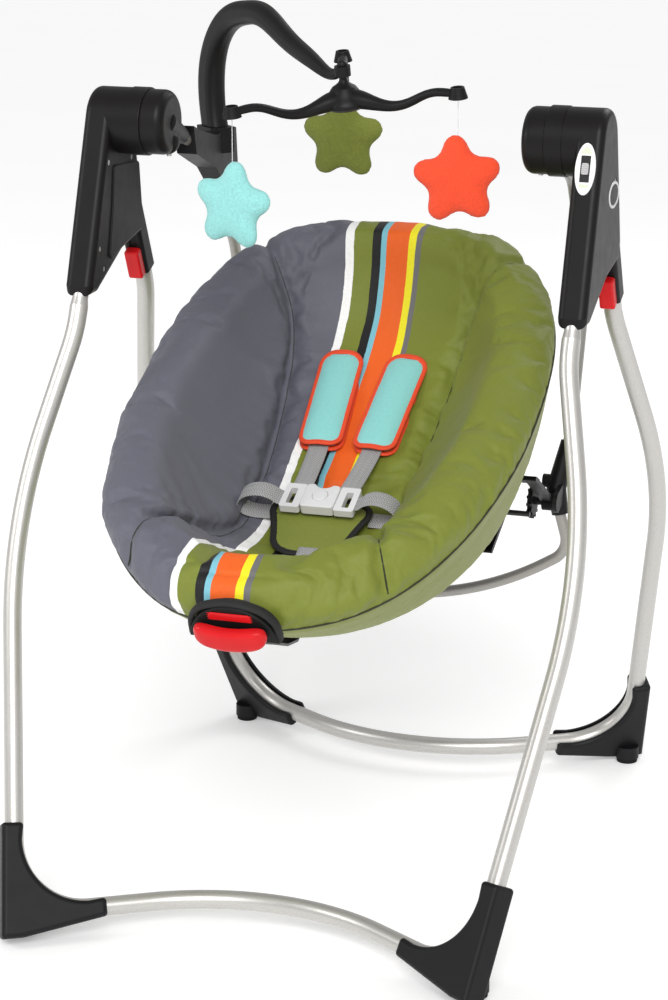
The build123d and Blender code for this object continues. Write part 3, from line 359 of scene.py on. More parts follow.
MATERIALS = {
    "silver_tube": painted("silver_tube", (0.54, 0.525, 0.50), 0.6, 0.34),
    "grey_tube": painted("grey_tube", (0.34, 0.325, 0.30), 0.5, 0.38),
    "boot_plastic": moulded("boot_plastic", (0.008, 0.008, 0.009), 0.48, **DULL),
    "pad_rubber": moulded("pad_rubber", (0.008, 0.008, 0.008), 0.8, **DULL),
    "housing_plastic": moulded("housing_plastic", (0.0075, 0.0065, 0.007), 0.40, **DULL),
    "cover_plastic": moulded("cover_plastic", (0.013, 0.012, 0.013), 0.44, **DULL),
    "black_plastic": moulded("black_plastic", (0.008, 0.0075, 0.008), 0.42, **DULL),
    "dark_steel": painted("dark_steel", (0.035, 0.034, 0.033), 0.8, 0.42),
    "steel": painted("steel", (0.62, 0.61, 0.59), 1.0, 0.3),
    "arm_paint": moulded("arm_paint", (0.003, 0.003, 0.003), 0.34, Specular_IOR_Level=0.1),
    "bezel_white": moulded("bezel_white", (0.86, 0.88, 0.85), 0.35),
    "slider_grey": moulded("slider_grey", (0.46, 0.45, 0.45), 0.4),
    "gear_nylon": moulded("gear_nylon", (0.75, 0.74, 0.68), 0.45),
    "cell_wrap": moulded("cell_wrap", (0.05, 0.06, 0.10), 0.35),
    "red_plastic": moulded("red_plastic", (0.60, 0.009, 0.012), 0.3, Coat_Weight=0.1, **DULL),
    "shell_plastic": moulded("shell_plastic", (0.009, 0.009, 0.010), 0.5, **DULL),
    "handle_black": moulded("handle_black", (0.008, 0.008, 0.008), 0.5, **DULL),
    "buckle_plastic": moulded("buckle_plastic", (0.66, 0.66, 0.67), 0.32),
    "cover_fabric": banded_cover(),
    "webbing": webbing("webbing", (0.42, 0.42, 0.425)),
    "teal_fabric": fabric("teal_fabric", TEAL, 0.55),
    "green_fabric": fabric("green_fabric", OLIVE, 0.55),
    "binding_red": fabric("binding_red", BINDING, 0.6),
    "binding_black": fabric("binding_black", (0.006, 0.006, 0.006), 0.7, sheen=0.02),
    "piping": fabric("piping", (0.020, 0.024, 0.008), 0.7, sheen=0.02),
    "bezel_inlay": moulded("bezel_inlay", (0.62, 0.78, 0.52), 0.4),
    "badge_bright": moulded("badge_bright", (0.62, 0.61, 0.62), 0.3),
    "bezel_dark": moulded("bezel_dark", (0.010, 0.010, 0.011), 0.3),
    "star_teal": fabric("star_teal", (0.270, 0.620, 0.600), 0.85, 0.0009, 0.0002, 0.16, 0.25),
    "star_green": fabric("star_green", (0.170, 0.200, 0.026), 0.85, 0.0009, 0.0002, 0.16, 0.2),
    "star_orange": fabric("star_orange", (0.800, 0.062, 0.014), 0.85, 0.0009, 0.0002, 0.16, 0.25),
    "clear_line": Shader("clear_line", (0.9, 0.9, 0.9), 0.15, Transmission_Weight=0.6).material,
}


# The strip under the seat gets the dark steel in place of its bright steel, so it shows dark.
DARK_STEEL_NODES = ("release_link",)


def finish_cad_nodes():
    for part in frame["record"]["subparts"]:
        node = frame["nodes"][part["node"]]
        material = MATERIALS["dark_steel" if part["node"] in DARK_STEEL_NODES else part["material_slot"]]
        for slot in node.material_slots:
            slot.material = material


FLOOR_SIZE, FLOOR_COLOUR = 60.0, (0.86, 0.86, 0.86)


def add_floor():
    shader = Shader("floor", FLOOR_COLOUR, 0.7)
    where = shader.place()
    tone = shader.noise(where, 3.0, 4.0)
    shader.link(shader.varied(FLOOR_COLOUR, tone, 0.01), shader.bsdf.inputs["Base Color"])
    shader.set("Emission Color", (1.0, 1.0, 1.0, 1.0))
    shader.set("Emission Strength", 0.26)
    bpy.ops.mesh.primitive_grid_add(x_subdivisions=4, y_subdivisions=4, size=FLOOR_SIZE)
    floor = bpy.context.object
    floor.name = "floor"
    floor.data.materials.append(shader.material)


finish_cad_nodes()
add_floor()


# ---- mesh helpers --------------------------------------------------------------------------
def mesh_object(name, points, faces, material, smooth=True):
    mesh = bpy.data.meshes.new(name)
    mesh.from_pydata([tuple(p) for p in points], [], faces)
    mesh.update()
    piece = bpy.data.objects.new(name, mesh)
    SCENE.collection.objects.link(piece)
    mesh.materials.append(MATERIALS[material])
    if smooth:
        mesh.polygons.foreach_set("use_smooth", [True] * len(mesh.polygons))
    return piece


def read_points(mesh):
    points = np.zeros(len(mesh.vertices) * 3)
    mesh.vertices.foreach_get("co", points)
    return points.reshape(-1, 3)


def write_points(mesh, points):
    mesh.vertices.foreach_set("co", np.asarray(points, np.float32).ravel())
    mesh.update()


def read_normals(mesh):
    normals = np.zeros(len(mesh.vertices) * 3)
    mesh.vertex_normals.foreach_get("vector", normals)
    return normals.reshape(-1, 3)


def apply_modifiers(piece):
    evaluated = piece.evaluated_get(bpy.context.evaluated_depsgraph_get())
    mesh = bpy.data.meshes.new_from_object(evaluated)
    piece.modifiers.clear()
    piece.data = mesh


def remeshed(piece, voxel):
    modifier = piece.modifiers.new("voxels", "REMESH")
    modifier.mode = "VOXEL"
    modifier.voxel_size = voxel
    modifier.use_smooth_shade = True
    apply_modifiers(piece)


def subdivided(piece, levels=1):
    modifier = piece.modifiers.new("smooth", "SUBSURF")
    modifier.levels = levels
    modifier.render_levels = levels


def ring_faces(rows, columns, closed_rows=False):
    """Quads between rows of a grid whose columns close on themselves."""
    faces = []
    for r in range(rows if closed_rows else rows - 1):
        for c in range(columns):
            a, b = r * columns, ((r + 1) % rows) * columns
            n = (c + 1) % columns
            faces.append((a + c, a + n, b + n, b + c))
    return faces


def loft_faces(rows, columns):
    """Faces of a closed skin through rows of rings: the quads and a cap at each end."""
    last = (rows - 1) * columns
    caps = [tuple(range(columns))[::-1], tuple(range(last, last + columns))]
    return ring_faces(rows, columns) + caps


def catmull(values, steps):
    """A smooth curve through rows of numbers, with steps points in each span."""
    values = np.asarray(values, float)
    padded = np.vstack([2 * values[0] - values[1], values, 2 * values[-1] - values[-2]])
    t = np.arange(steps)[:, None] / steps
    out = []
    for a, b, c, d in zip(padded, padded[1:], padded[2:], padded[3:]):
        out.append(0.5 * (2 * b + (c - a) * t + (2 * a - 5 * b + 4 * c - d) * t ** 2
                          + (3 * b - a - 3 * c + d) * t ** 3))
    return np.vstack(out + [values[-1:]])


def arc_lengths(points):
    steps = np.linalg.norm(np.diff(points, axis=0), axis=1)
    return np.concatenate([[0.0], np.cumsum(steps)])


def evenly(points, spacing):
    points = np.asarray(points, float)
    length = arc_lengths(points)
    count = max(2, int(round(length[-1] / spacing)) + 1)
    where = np.linspace(0.0, length[-1], count)
    return np.stack([np.interp(where, length, points[:, k]) for k in range(3)], axis=1)


def tube_mesh(name, points, radius, material, closed=False, sides=10, flatten=1.0, up=None):
    """A round or flattened cord of solid fabric or plastic along a line of points."""
    points = np.asarray(points, float)
    count = len(points)
    if closed:
        tangents = np.roll(points, -1, 0) - np.roll(points, 1, 0)
    else:
        tangents = np.gradient(points, axis=0)
    tangents /= np.linalg.norm(tangents, axis=1)[:, None]
    guide = np.array(SEAT_UP if up is None else up)
    across = np.cross(tangents, guide)
    across /= np.linalg.norm(across, axis=1)[:, None]
    lift = np.cross(across, tangents)
    turn = np.linspace(0.0, 2 * math.pi, sides, endpoint=False)
    ring = (across[:, None] * np.cos(turn)[None, :, None]
            + lift[:, None] * np.sin(turn)[None, :, None] * flatten)
    verts = (points[:, None] + ring * radius).reshape(-1, 3)
    faces = ring_faces(count, sides, True) if closed else loft_faces(count, sides)
    return mesh_object(name, verts, faces, material)


CLOTH_FRAMES, CLOTH_MASS, CLOTH_BEND = 20, 0.15, 0.3


def inflate(piece, held, pressure, cap, growth=0.0):
    """Blow the closed mesh up as cloth, with held points pinned and no point moving past cap."""
    rest = read_points(piece.data)
    group = piece.vertex_groups.new(name="held")
    for index in np.nonzero(held > 0.01)[0]:
        group.add([int(index)], float(held[index]), "REPLACE")
    cloth = piece.modifiers.new("cloth", "CLOTH")
    settings = cloth.settings
    settings.quality = 5
    settings.mass = CLOTH_MASS
    settings.use_pressure = True
    settings.uniform_pressure_force = pressure
    settings.shrink_min = -growth
    settings.bending_stiffness = CLOTH_BEND
    settings.vertex_group_mass = "held"
    settings.effector_weights.gravity = 0.0
    cloth.collision_settings.use_collision = False
    cloth.point_cache.frame_end = CLOTH_FRAMES
    for step in range(1, CLOTH_FRAMES + 1):
        SCENE.frame_set(step)
    evaluated = piece.evaluated_get(bpy.context.evaluated_depsgraph_get())
    moved = read_points(evaluated.data) - rest
    piece.modifiers.clear()
    SCENE.frame_set(1)
    reach = np.maximum(np.linalg.norm(moved, axis=1), 1e-9)
    write_points(piece.data, rest + moved * (np.minimum(reach, cap) / reach)[:, None])


def keep_place(piece):
    """Store each point's place on the uncreased seat, in seat millimetres, for the cloth."""
    places = to_seat(read_points(piece.data))
    attribute = piece.data.attributes.new("rest", "FLOAT_VECTOR", "POINT")
    attribute.data.foreach_set("vector", places.astype(np.float32).ravel())
    return places


# ---- seat cover ----------------------------------------------------------------------------
# Rings of the padded cover, outside bottom to bowl floor: rear s, front s, half width,
# s of the widest place, depth.
COVER_RINGS = [
    (103, 582, 193, 342, -138), (97, 588, 198, 342, -141), (72, 622, 214, 345, -124),
    (42, 668, 228, 348, -85), (14, 706, 240, 350, -42), (2, 720, 248, 350, -6),
    (5, 715, 244, 350, 18), (20, 702, 231, 351, 34), (42, 682, 211, 352, 40),
    (62, 660, 190, 351, 24), (82, 634, 170, 350, -8), (122, 602, 141, 346, -48),
    (188, 566, 115, 350, -76), (290, 520, 82, 400, -99), (340, 490, 50, 412, -105),
    (380, 450, 15, 415, -107),
]
RING_COLUMNS = 128
# The widest row: rear s, front s, half width, s of the widest place; and how square the
# outline is behind and ahead of that place.
RIM_REAR, RIM_FRONT, RIM_HALF_WIDTH, RIM_WIDEST = 2.0, 720.0, 248.0, 350.0
REAR_POWER, FRONT_POWER = 2.6, 2.2
RIM_SCALE = 250.0           # mm for one unit of rim_side
COVER_VOXEL = 0.006
COVER_PRESSURE, COVER_CAP, COVER_GROWTH = 4.0, 0.010, 0.05
FIRM = 0.97                 # how firmly the panel and the seat floor are held while it swells
SEWN_REACH = 6.0            # mm of cloth that a sewn line holds
SEAM_DEPTH, SEAM_WIDTH = 9.0, 9.0
PANEL_LOW = -118.0          # below this the shell is bare
SHELL_GAP = 0.003           # metres of lining between the seat shell and the panel
PANEL_TUCK = 5.0            # mm that the lower panel is drawn in under the piping
PROBE = 0.03                # metres out from the cloth that a search for the shell starts

# Folds beside the seams: height in mm, spacing along the seam, and reach away from it.
LONG_FOLDS, SHORT_FOLDS = (5.0, 24.0, 75.0), (3.4, 10.0, 42.0)
FOLD_WIDENING = 150.0       # mm over which one fold runs on unchanged
PUCKER_HEIGHT, PUCKER_DEGREES, PUCKER_REACH = 1.2, 3.2, 18.0
BROAD_HEIGHT, BROAD_SIZE = 3.0, (60.0, 130.0, 90.0)
PANEL_CALM = 0.25           # share of the folds that the stiff lower panel keeps


def smoothstep(low, high, values):
    t = np.clip((values - low) / (high - low), 0.0, 1.0)
    return t * t * (3.0 - 2.0 * t)


def piping_depth(s):
    return PIPING_D - PIPING_DIP * smoothstep(DIP_START, DIP_END, s)


def egg_ring(s0, s1, half_width, widest, depth):
    turn = 2 * math.pi * np.arange(RING_COLUMNS) / RING_COLUMNS
    side, fore = np.sin(turn), -np.cos(turn)
    power = np.where(fore < 0, REAR_POWER, FRONT_POWER)
    reach = np.where(fore < 0, widest - s0, s1 - widest)
    x = half_width * np.sign(side) * np.abs(side) ** (2 / power)
    s = widest + reach * np.sign(fore) * np.abs(fore) ** (2 / power)
    return [on_seat(a, b, depth) for a, b in zip(x, s)]


# Sewn lines on the right half, as x and s; the left half mirrors them.
BOLSTER_SEAM = [
    (186, 50), (172, 72), (142, 104), (118, 138), (108, 180), (102, 240), (95, 320),
    (90, 400), (88, 470), (95, 510), (104, 530),
]
FRONT_SEAM = [(104, 530), (119, 569), (137, 612), (152, 648), (163, 676), (168, 694)]
CROSS_SEAM = [(104, 530), (60, 536), (0, 540)]
SEAM_STEP = 0.004


def seam_lines(tree):
    """Each sewn line laid on the surface, as evenly spaced points."""
    lines = []
    for line in (BOLSTER_SEAM, FRONT_SEAM, CROSS_SEAM):
        for side in (1, -1):
            smooth = catmull([(x * side, s) for x, s in line], 12)
            laid = []
            for x, s in smooth:
                hit = tree.ray_cast(on_seat(x, s, 120.0), -SEAT_UP)[0]
                if hit is not None:
                    laid.append(hit)
            lines.append(evenly(laid, SEAM_STEP))
    return lines


def nearest_on_lines(points, lines):
    """Distance in mm to the nearest sewn line, its number, and the place along it in mm."""
    total = sum(len(line) for line in lines)
    tree = kdtree.KDTree(total)
    owner, along = [], []
    for number, line in enumerate(lines):
        for point, place in zip(line, arc_lengths(line)):
            tree.insert(point, len(owner))
            owner.append(number)
            along.append(place / MM)
    tree.balance()
    found = [tree.find(p) for p in points]
    index = np.array([f[1] for f in found])
    distance = np.array([f[2] for f in found]) / MM
    return distance, np.array(owner)[index], np.array(along)[index]


def soft_noise(coordinates):
    return np.array([noise.noise(c) for c in coordinates])


def build_cover():
    rings = catmull(COVER_RINGS, 4)
    rows = [egg_ring(*ring) for ring in rings]
    points = [p for row in rows for p in row]
    cover = mesh_object("seat_cover", points, loft_faces(len(rows), RING_COLUMNS), "cover_fabric")
    normals_outward(cover)
    remeshed(cover, COVER_VOXEL)
    places = keep_place(cover)
    lines = seam_lines(BVHTree.FromObject(cover, bpy.context.evaluated_depsgraph_get()))
    start = read_points(cover.data)
    normals = read_normals(cover.data)
    distance, owner, along = nearest_on_lines(start, lines)
    x, s, d = places.T
    piping = np.hypot(d - piping_depth(s), (rim_side(x, s) - 1.0) * RIM_SCALE)
    outward = (normals @ np.array(SEAT_UP) < 0.25) & (d < PIPING_D + 18.0)
    attribute = cover.data.attributes.new("outward", "FLOAT", "POINT")
    attribute.data.foreach_set("value", outward.astype(np.float32))
    panel = outward & (d < piping_depth(s))
    seam_pull = SEAM_DEPTH * np.exp(-(distance / SEAM_WIDTH) ** 2)
    write_points(cover.data, start - normals * (seam_pull * MM)[:, None])
    sewn = np.exp(-(np.minimum(distance, piping) / SEWN_REACH) ** 2)
    under = smoothstep(-126.0, -136.0, d)
    middle = smoothstep(90.0, 60.0, np.abs(x)) * smoothstep(360.0, 420.0, s)
    pressed = middle * smoothstep(-70.0, -92.0, d)
    held = np.maximum.reduce([sewn, under, FIRM * panel, FIRM * pressed])
    inflate(cover, held, COVER_PRESSURE, COVER_CAP, COVER_GROWTH)
    crease(cover, distance, owner, along, places, piping, panel)
    stand_off(cover, panel & (d > PANEL_LOW), "seat_shell", SHELL_GAP)
    subdivided(cover)
    return cover


def normals_outward(piece):
    work = bmesh.new()
    work.from_mesh(piece.data)
    bmesh.ops.recalc_face_normals(work, faces=work.faces)
    work.to_mesh(piece.data)
    work.free()


def rim_side(x, s):
    """1 on the cover's widest outline, less inside it."""
    rear = s < RIM_WIDEST
    reach = np.where(rear, RIM_WIDEST - RIM_REAR, RIM_FRONT - RIM_WIDEST)
    power = np.where(rear, REAR_POWER, FRONT_POWER)
    fore = np.abs(s - RIM_WIDEST) / reach
    return (np.abs(x / RIM_HALF_WIDTH) ** power + fore ** power) ** (1 / power)


def crease(cover, distance, owner, along, places, piping, panel):
    """Soft folds that run out from the sewn lines, and puckers beside the piping."""
    x, s, d = places.T
    points = read_points(cover.data)
    normals = read_normals(cover.data)

    def fan(fold, seed):
        """Ridges square to the sewn lines that fade outwards."""
        height, spacing, reach = fold
        cells = zip(along, distance, owner)
        ridges = soft_noise([Vector((a / spacing, r / FOLD_WIDENING, o * 7.3 + seed))
                             for a, r, o in cells])
        return height * ridges * np.exp(-distance / reach)

    folds = (fan(LONG_FOLDS, 0.0) + fan(SHORT_FOLDS, 3.1)) * (1.0 - np.exp(-distance / 8.0))
    around = np.degrees(np.arctan2(x, s - RIM_WIDEST))
    pucker = soft_noise([Vector((a / PUCKER_DEGREES, b / 40.0, 3.0))
                         for a, b in zip(around, piping)])
    folds += PUCKER_HEIGHT * pucker * np.exp(-piping / PUCKER_REACH) * smoothstep(-30.0, -4.0, d)
    broad = soft_noise([Vector(place / BROAD_SIZE) for place in places])
    folds += BROAD_HEIGHT * broad * smoothstep(-40.0, 0.0, np.minimum(d, 0.0) + 30.0)
    folds[panel] *= PANEL_CALM
    tucked = smoothstep(0.0, 40.0, piping_depth(s) - d) * smoothstep(250.0, 450.0, s)
    folds -= PANEL_TUCK * panel * tucked
    write_points(cover.data, points + normals * (folds * MM)[:, None])


def stand_off(piece, chosen, node, gap):
    """Move the chosen points out along their normals until they clear a CAD node."""
    tree = BVHTree.FromObject(frame["nodes"][node], bpy.context.evaluated_depsgraph_get())
    points = read_points(piece.data)
    normals = read_normals(piece.data)
    for index in np.nonzero(chosen)[0]:
        out = Vector(normals[index])
        start = Vector(points[index]) + out * PROBE
        hit = tree.ray_cast(start, -out, PROBE + gap)[0]
        if hit is not None:
            points[index] = hit + out * gap
    write_points(piece.data, points)


cover = build_cover()
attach(cover, "seat")
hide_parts("seat_pad")


def smoothed(points, rounds, closed):
    """The line with each point moved to the mean of itself and its neighbours."""
    for _ in range(rounds):
        mean = (np.roll(points, 1, 0) + points + np.roll(points, -1, 0)) / 3.0
        if not closed:
            mean[0], mean[-1] = points[0], points[-1]
        points = mean
    return points


WIDEST_RING = (RIM_REAR, RIM_FRONT, RIM_HALF_WIDTH, RIM_WIDEST, PIPING_D)
PIPING_RADIUS, FRONT_THREAD, BOLSTER_THREAD = 0.0015, 0.0010, 0.0005


def build_piping():
    """Piping where the lower panel is sewn on, and the dark closed seams at the front."""
    tree = BVHTree.FromObject(cover, bpy.context.evaluated_depsgraph_get())
    line = []
    for point in egg_ring(*WIDEST_RING):
        x, s, _ = to_seat(np.array([point]))[0]
        hit, out = tree.find_nearest(on_seat(x, s, piping_depth(s)))[:2]
        line.append(hit + out * PIPING_RADIUS / 2)
    line = smoothed(np.array(line), 3, True)
    made = [tube_mesh("cover_piping", line, PIPING_RADIUS, "piping", closed=True)]
    right_bolster, left_bolster, right_front, left_front = seam_lines(tree)[:4]
    for name, seam, radius in (("bolster_seam_right", right_bolster, BOLSTER_THREAD),
                               ("bolster_seam_left", left_bolster, BOLSTER_THREAD),
                               ("front_seam_right", right_front, FRONT_THREAD),
                               ("front_seam_left", left_front, FRONT_THREAD)):
        made.append(tube_mesh(name, smoothed(seam, 2, False), radius, "piping"))
    for piece in made:
        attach(piece, "seat")


build_piping()


# ---- padded pieces from an outline ---------------------------------------------------------
PILLOW_RINGS = 9


def chaikin(points, rounds):
    """Cut the corners of a closed outline until it is smooth."""
    points = np.asarray(points, float)
    for _ in range(rounds):
        after = np.roll(points, -1, 0)
        points = np.stack([0.75 * points + 0.25 * after, 0.25 * points + 0.75 * after], 1)
        points = points.reshape(-1, 2)
    return points


def even_outline(points, spacing):
    """The closed outline again, as points about spacing apart."""
    loop = np.vstack([points, points[:1]])
    length = arc_lengths(loop)
    count = int(length[-1] / spacing)
    where = np.linspace(0.0, length[-1], count, endpoint=False)
    return np.stack([np.interp(where, length, loop[:, k]) for k in range(2)], axis=1)


def pillow(name, outline, place, half_thickness, material, voxel, swell=0.0, cap=0.0):
    """A stuffed pad: both faces crowned, sewn together along the outline."""
    outline = even_outline(outline, voxel / MM)
    centre = outline.mean(0)
    shares = np.sin(np.linspace(0.0, math.pi / 2, PILLOW_RINGS + 1))[1:]
    rows = []
    for side in (1, -1):
        for share in (shares if side > 0 else shares[::-1][1:]):
            height = half_thickness * side * max(0.0, 1.0 - share ** 3.0) ** 0.6
            rows.append([place(u, v, height) for u, v in centre + (outline - centre) * share])
    points = [p for row in rows for p in row]
    piece = mesh_object(name, points, loft_faces(len(rows), len(outline)), material)
    normals_outward(piece)
    remeshed(piece, voxel)
    if swell:
        line = np.array([place(u, v, 0.0) for u, v in outline])
        distance, _, _ = nearest_on_lines(read_points(piece.data), [line])
        held = np.exp(-(distance / (voxel / MM)) ** 2)
        inflate(piece, held, swell, cap)
    subdivided(piece)
    return piece


def edge_binding(name, outline, place, radius, material):
    """Folded tape along a pad's edge."""
    up = np.array(place(0.0, 0.0, 1.0)) - np.array(place(0.0, 0.0, 0.0))
    points = [place(u, v, 0.0) for u, v in even_outline(outline, 3.0)]
    return tube_mesh(name, points, radius, material, closed=True, sides=12, flatten=0.5, up=up)


# ---- harness -------------------------------------------------------------------------------
SHOULDER_X, SHOULDER_S, SHOULDER_TURN = 42.0, 187.0, math.radians(-3.3)
# Run along the shoulder line and depth d, for the webbing and for the pads on it.
SHOULDER_ROUTE = [
    (-22, -84), (-12, -71), (2, -64), (50, -69.5), (100, -77), (147, -83.5), (185, -82.5),
    (221, -79),
]
PAD_ROUTE = [(-8, -60.0), (60, -69.5), (150, -82.5)]
PAD_START, PAD_LENGTH, PAD_HALF_WIDTH, PAD_CORNER, PAD_DROOP = -8.0, 152.0, 25.5, 15.0, 6.0
PAD_LAYERS = (("top", 5.4, 4.6), ("under", -3.6, 2.6))      # height off the route, half thickness
PAD_VOXEL, PAD_PRESSURE, PAD_CAP = 0.003, 3.0, 0.0025
BINDING_INSET = (0.985, 0.93)
PAD_TAPE, CROTCH_TAPE = 0.0043, 0.0042                      # half widths of the edge tapes
WEB_HALF_WIDTH, WEB_HALF_THICKNESS = 12.5, 0.8


def on_shoulder(side, run, across, depth):
    """A point on the left (-1) or right (1) shoulder line, mirrored about the middle."""
    x = SHOULDER_X + run * math.sin(SHOULDER_TURN) + across * math.cos(SHOULDER_TURN)
    s = SHOULDER_S + run * math.cos(SHOULDER_TURN) - across * math.sin(SHOULDER_TURN)
    return on_seat(side * x, s, depth)


def pad_depth(run):
    runs, depths = zip(*PAD_ROUTE)
    return float(np.interp(run, runs, depths))


def strap(name, centres, across):
    """Flat webbing along a line of points, with UVs in metres across and along."""
    centres = np.asarray([tuple(c) for c in centres])
    across = np.array(across) / np.linalg.norm(across)
    tangents = np.gradient(centres, axis=0)
    normals = np.cross(tangents, across)
    normals /= np.linalg.norm(normals, axis=1)[:, None]
    lengths = arc_lengths(centres)
    w, t = WEB_HALF_WIDTH * MM, WEB_HALF_THICKNESS * MM
    section = [(-w, 0), (-w + t, t), (-w / 3, t), (w / 3, t), (w - t, t), (w, 0),
               (w - t, -t), (w / 3, -t), (-w / 3, -t), (-w + t, -t)]
    points = [c + across * a + n * b for c, n in zip(centres, normals) for a, b in section]
    sides = len(section)
    piece = mesh_object(name, points, loft_faces(len(centres), sides), "webbing")
    layer = piece.data.uv_layers.new(name="weave")
    for face in piece.data.polygons:
        for loop in face.loop_indices:
            vertex = piece.data.loops[loop].vertex_index
            layer.data[loop].uv = (section[vertex % sides][0], lengths[vertex // sides])
    return piece


def rounded_box_outline(u0, u1, v0, v1, corner):
    """The outline of a rectangle with rounded corners."""
    outline = []
    for cu, cv, start in ((u1 - corner, v1 - corner, 0), (u0 + corner, v1 - corner, 90),
                          (u0 + corner, v0 + corner, 180), (u1 - corner, v0 + corner, 270)):
        for step in range(9):
            turn = math.radians(start + step * 90 / 8)
            outline.append((cu + corner * math.cos(turn), cv + corner * math.sin(turn)))
    return np.array(outline)


# The waist webbing comes out of a slot, loops over and goes back in: x and d.
WAIST_LOOP = [
    (40, -78), (50, -75), (58, -68), (70, -63), (84, -64), (95, -71), (99, -82), (93, -92),
    (80, -97), (60, -99),
]
WAIST_S, WAIST_SLANT = 434.0, 0.12


def build_harness(side, word):
    across = on_shoulder(side, 0, 1, 0) - on_shoulder(side, 0, 0, 0)
    route = catmull([(run, depth) for run, depth in SHOULDER_ROUTE], 6)
    upper = strap(f"shoulder_strap_{word}", [on_shoulder(side, r, 0, d) for r, d in route], across)
    loop = catmull(WAIST_LOOP, 6)
    line = [on_seat(side * x, WAIST_S + WAIST_SLANT * (x - 40), d) for x, d in loop]
    waist = strap(f"waist_strap_{word}", line, FORWARD)
    outline = rounded_box_outline(PAD_START, PAD_LENGTH + PAD_START, -PAD_HALF_WIDTH,
                                  PAD_HALF_WIDTH, PAD_CORNER)
    made = [(upper, "webbing"), (waist, "webbing")]
    for layer, lift, half in PAD_LAYERS:
        def place(run, c, height, lift=lift):
            droop = PAD_DROOP * (c / PAD_HALF_WIDTH) ** 2
            return on_shoulder(side, run, c, pad_depth(run) + lift + height - droop)

        pad = pillow(f"shoulder_pad_{layer}_{word}", outline, place, half, "teal_fabric",
                     PAD_VOXEL, PAD_PRESSURE, PAD_CAP)
        tape = edge_binding(f"shoulder_binding_{layer}_{word}", outline * BINDING_INSET, place,
                            PAD_TAPE, "binding_red")
        made += [(pad, "teal_fabric"), (tape, "teal_fabric")]
    return made


CROTCH_CORNERS = [
    (-64, 428), (-30, 410), (30, 410), (64, 428), (50, 464), (40, 506), (0, 510), (-40, 506),
    (-50, 464),
]
CROTCH_D, CROTCH_LIFT, CROTCH_HALF_WIDTH, CROTCH_HALF_THICKNESS = -95.5, 3.0, 52.0, 3.6
CROTCH_STRAP_X = 4
CROTCH_STRAP = [(500, -93), (512, -93), (524, -97), (534, -104)]      # s and d


def build_crotch_pad():
    outline = chaikin(CROTCH_CORNERS, 2)

    def place(x, s, height):
        """The pad's sides curl up a little."""
        return on_seat(x, s, CROTCH_D + height + CROTCH_LIFT * (abs(x) / CROTCH_HALF_WIDTH) ** 2)

    pad = pillow("crotch_pad_soft", outline, place, CROTCH_HALF_THICKNESS, "green_fabric",
                 PAD_VOXEL, PAD_PRESSURE, PAD_CAP)
    tape = edge_binding("crotch_binding", outline, place, CROTCH_TAPE, "binding_black")
    line = [on_seat(CROTCH_STRAP_X, s, d) for s, d in catmull(CROTCH_STRAP, 5)]
    tail = strap("crotch_strap", line, RIGHT)
    return [(pad, "green_fabric"), (tape, "green_fabric"), (tail, "webbing")]


harness = build_harness(1, "right") + build_harness(-1, "left") + build_crotch_pad()
for piece, slot in harness:
    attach(piece, "seat")
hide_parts("harness_straps")
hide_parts("shoulder_pads")
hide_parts("crotch_pad")


# ---- stars on strings ----------------------------------------------------------------------
STAR_TIP, STAR_WAIST, TIP_SPREAD = 54.0, 33.0, 11.0         # mm, mm, degrees
STAR_HALF_THICKNESS = 11.0
STAR_VOXEL, STAR_PRESSURE, STAR_CAP = 0.0028, 6.0, 0.008
STRING_DIAMETER, KNOT_GAP = 0.001, 0.01


def star_outline():
    corners = []
    for k in range(5):
        middle = 90.0 + 72.0 * k
        for radius, turn in ((STAR_TIP, -TIP_SPREAD), (STAR_TIP, TIP_SPREAD), (STAR_WAIST, 36.0)):
            a = math.radians(middle + turn)
            corners.append((radius * math.cos(a), radius * math.sin(a)))
    return chaikin(corners, 3)


def build_star(colour, tilt, turn):
    """A plush star, leaning in its own plane by tilt and turned about its string."""
    low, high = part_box(f"star_{colour}")
    centre = (low + high) / 2
    centre.z = high.z - STAR_TIP * MM
    turned = Matrix.Rotation(math.radians(turn), 3, "Z")
    pose = turned @ Matrix.Rotation(math.radians(-tilt), 3, "Y")

    def place(u, v, height):
        return centre + pose @ Vector((u, -height, v)) * MM

    star = pillow(f"plush_star_{colour}", star_outline(), place, STAR_HALF_THICKNESS,
                  f"star_{colour}", STAR_VOXEL, STAR_PRESSURE, STAR_CAP)
    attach(star, f"star_{colour}")
    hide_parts(f"star_{colour}")


def build_string(colour):
    low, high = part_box(f"string_{colour}")
    middle = (low + high) / 2
    data = bpy.data.curves.new(f"star_string_{colour}", "CURVE")
    data.dimensions = "3D"
    data.bevel_depth = STRING_DIAMETER / 2
    spline = data.splines.new("NURBS")
    heights = (high.z, middle.z + KNOT_GAP, middle.z - KNOT_GAP, low.z)
    spline.points.add(len(heights) - 1)
    for point, height in zip(spline.points, heights):
        point.co = (middle.x, middle.y, height, 1.0)
    spline.order_u = 3
    spline.use_endpoint_u = True
    line = bpy.data.objects.new(data.name, data)
    SCENE.collection.objects.link(line)
    data.materials.append(MATERIALS["clear_line"])
    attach(line, f"star_{colour}")
    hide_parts(f"string_{colour}")


for colour, tilt, turn in (("teal", -6.0, -14.0), ("green", 0.0, 0.0), ("orange", 4.0, 10.0)):
    build_star(colour, tilt, turn)
    build_string(colour)


# ---- recline handle and its surround --------------------------------------------------------
GRIP_STATIONS, GRIP_SIDES = 41, 28
GRIP_HALF_LENGTH, GRIP_HALF_DEPTH, GRIP_HALF_HEIGHT = 43.0, 8.2, 14.0
GRIP_S, GRIP_BOW = 750.0, 5.5       # the middle of the grip, and how far its ends sit back
GRIP_D, GRIP_LIFT = -8.0, 4.5       # and how far they sit up
GRIP_CORNER = 0.62                  # below 1 squares its section
BLUNT_END = 0.02


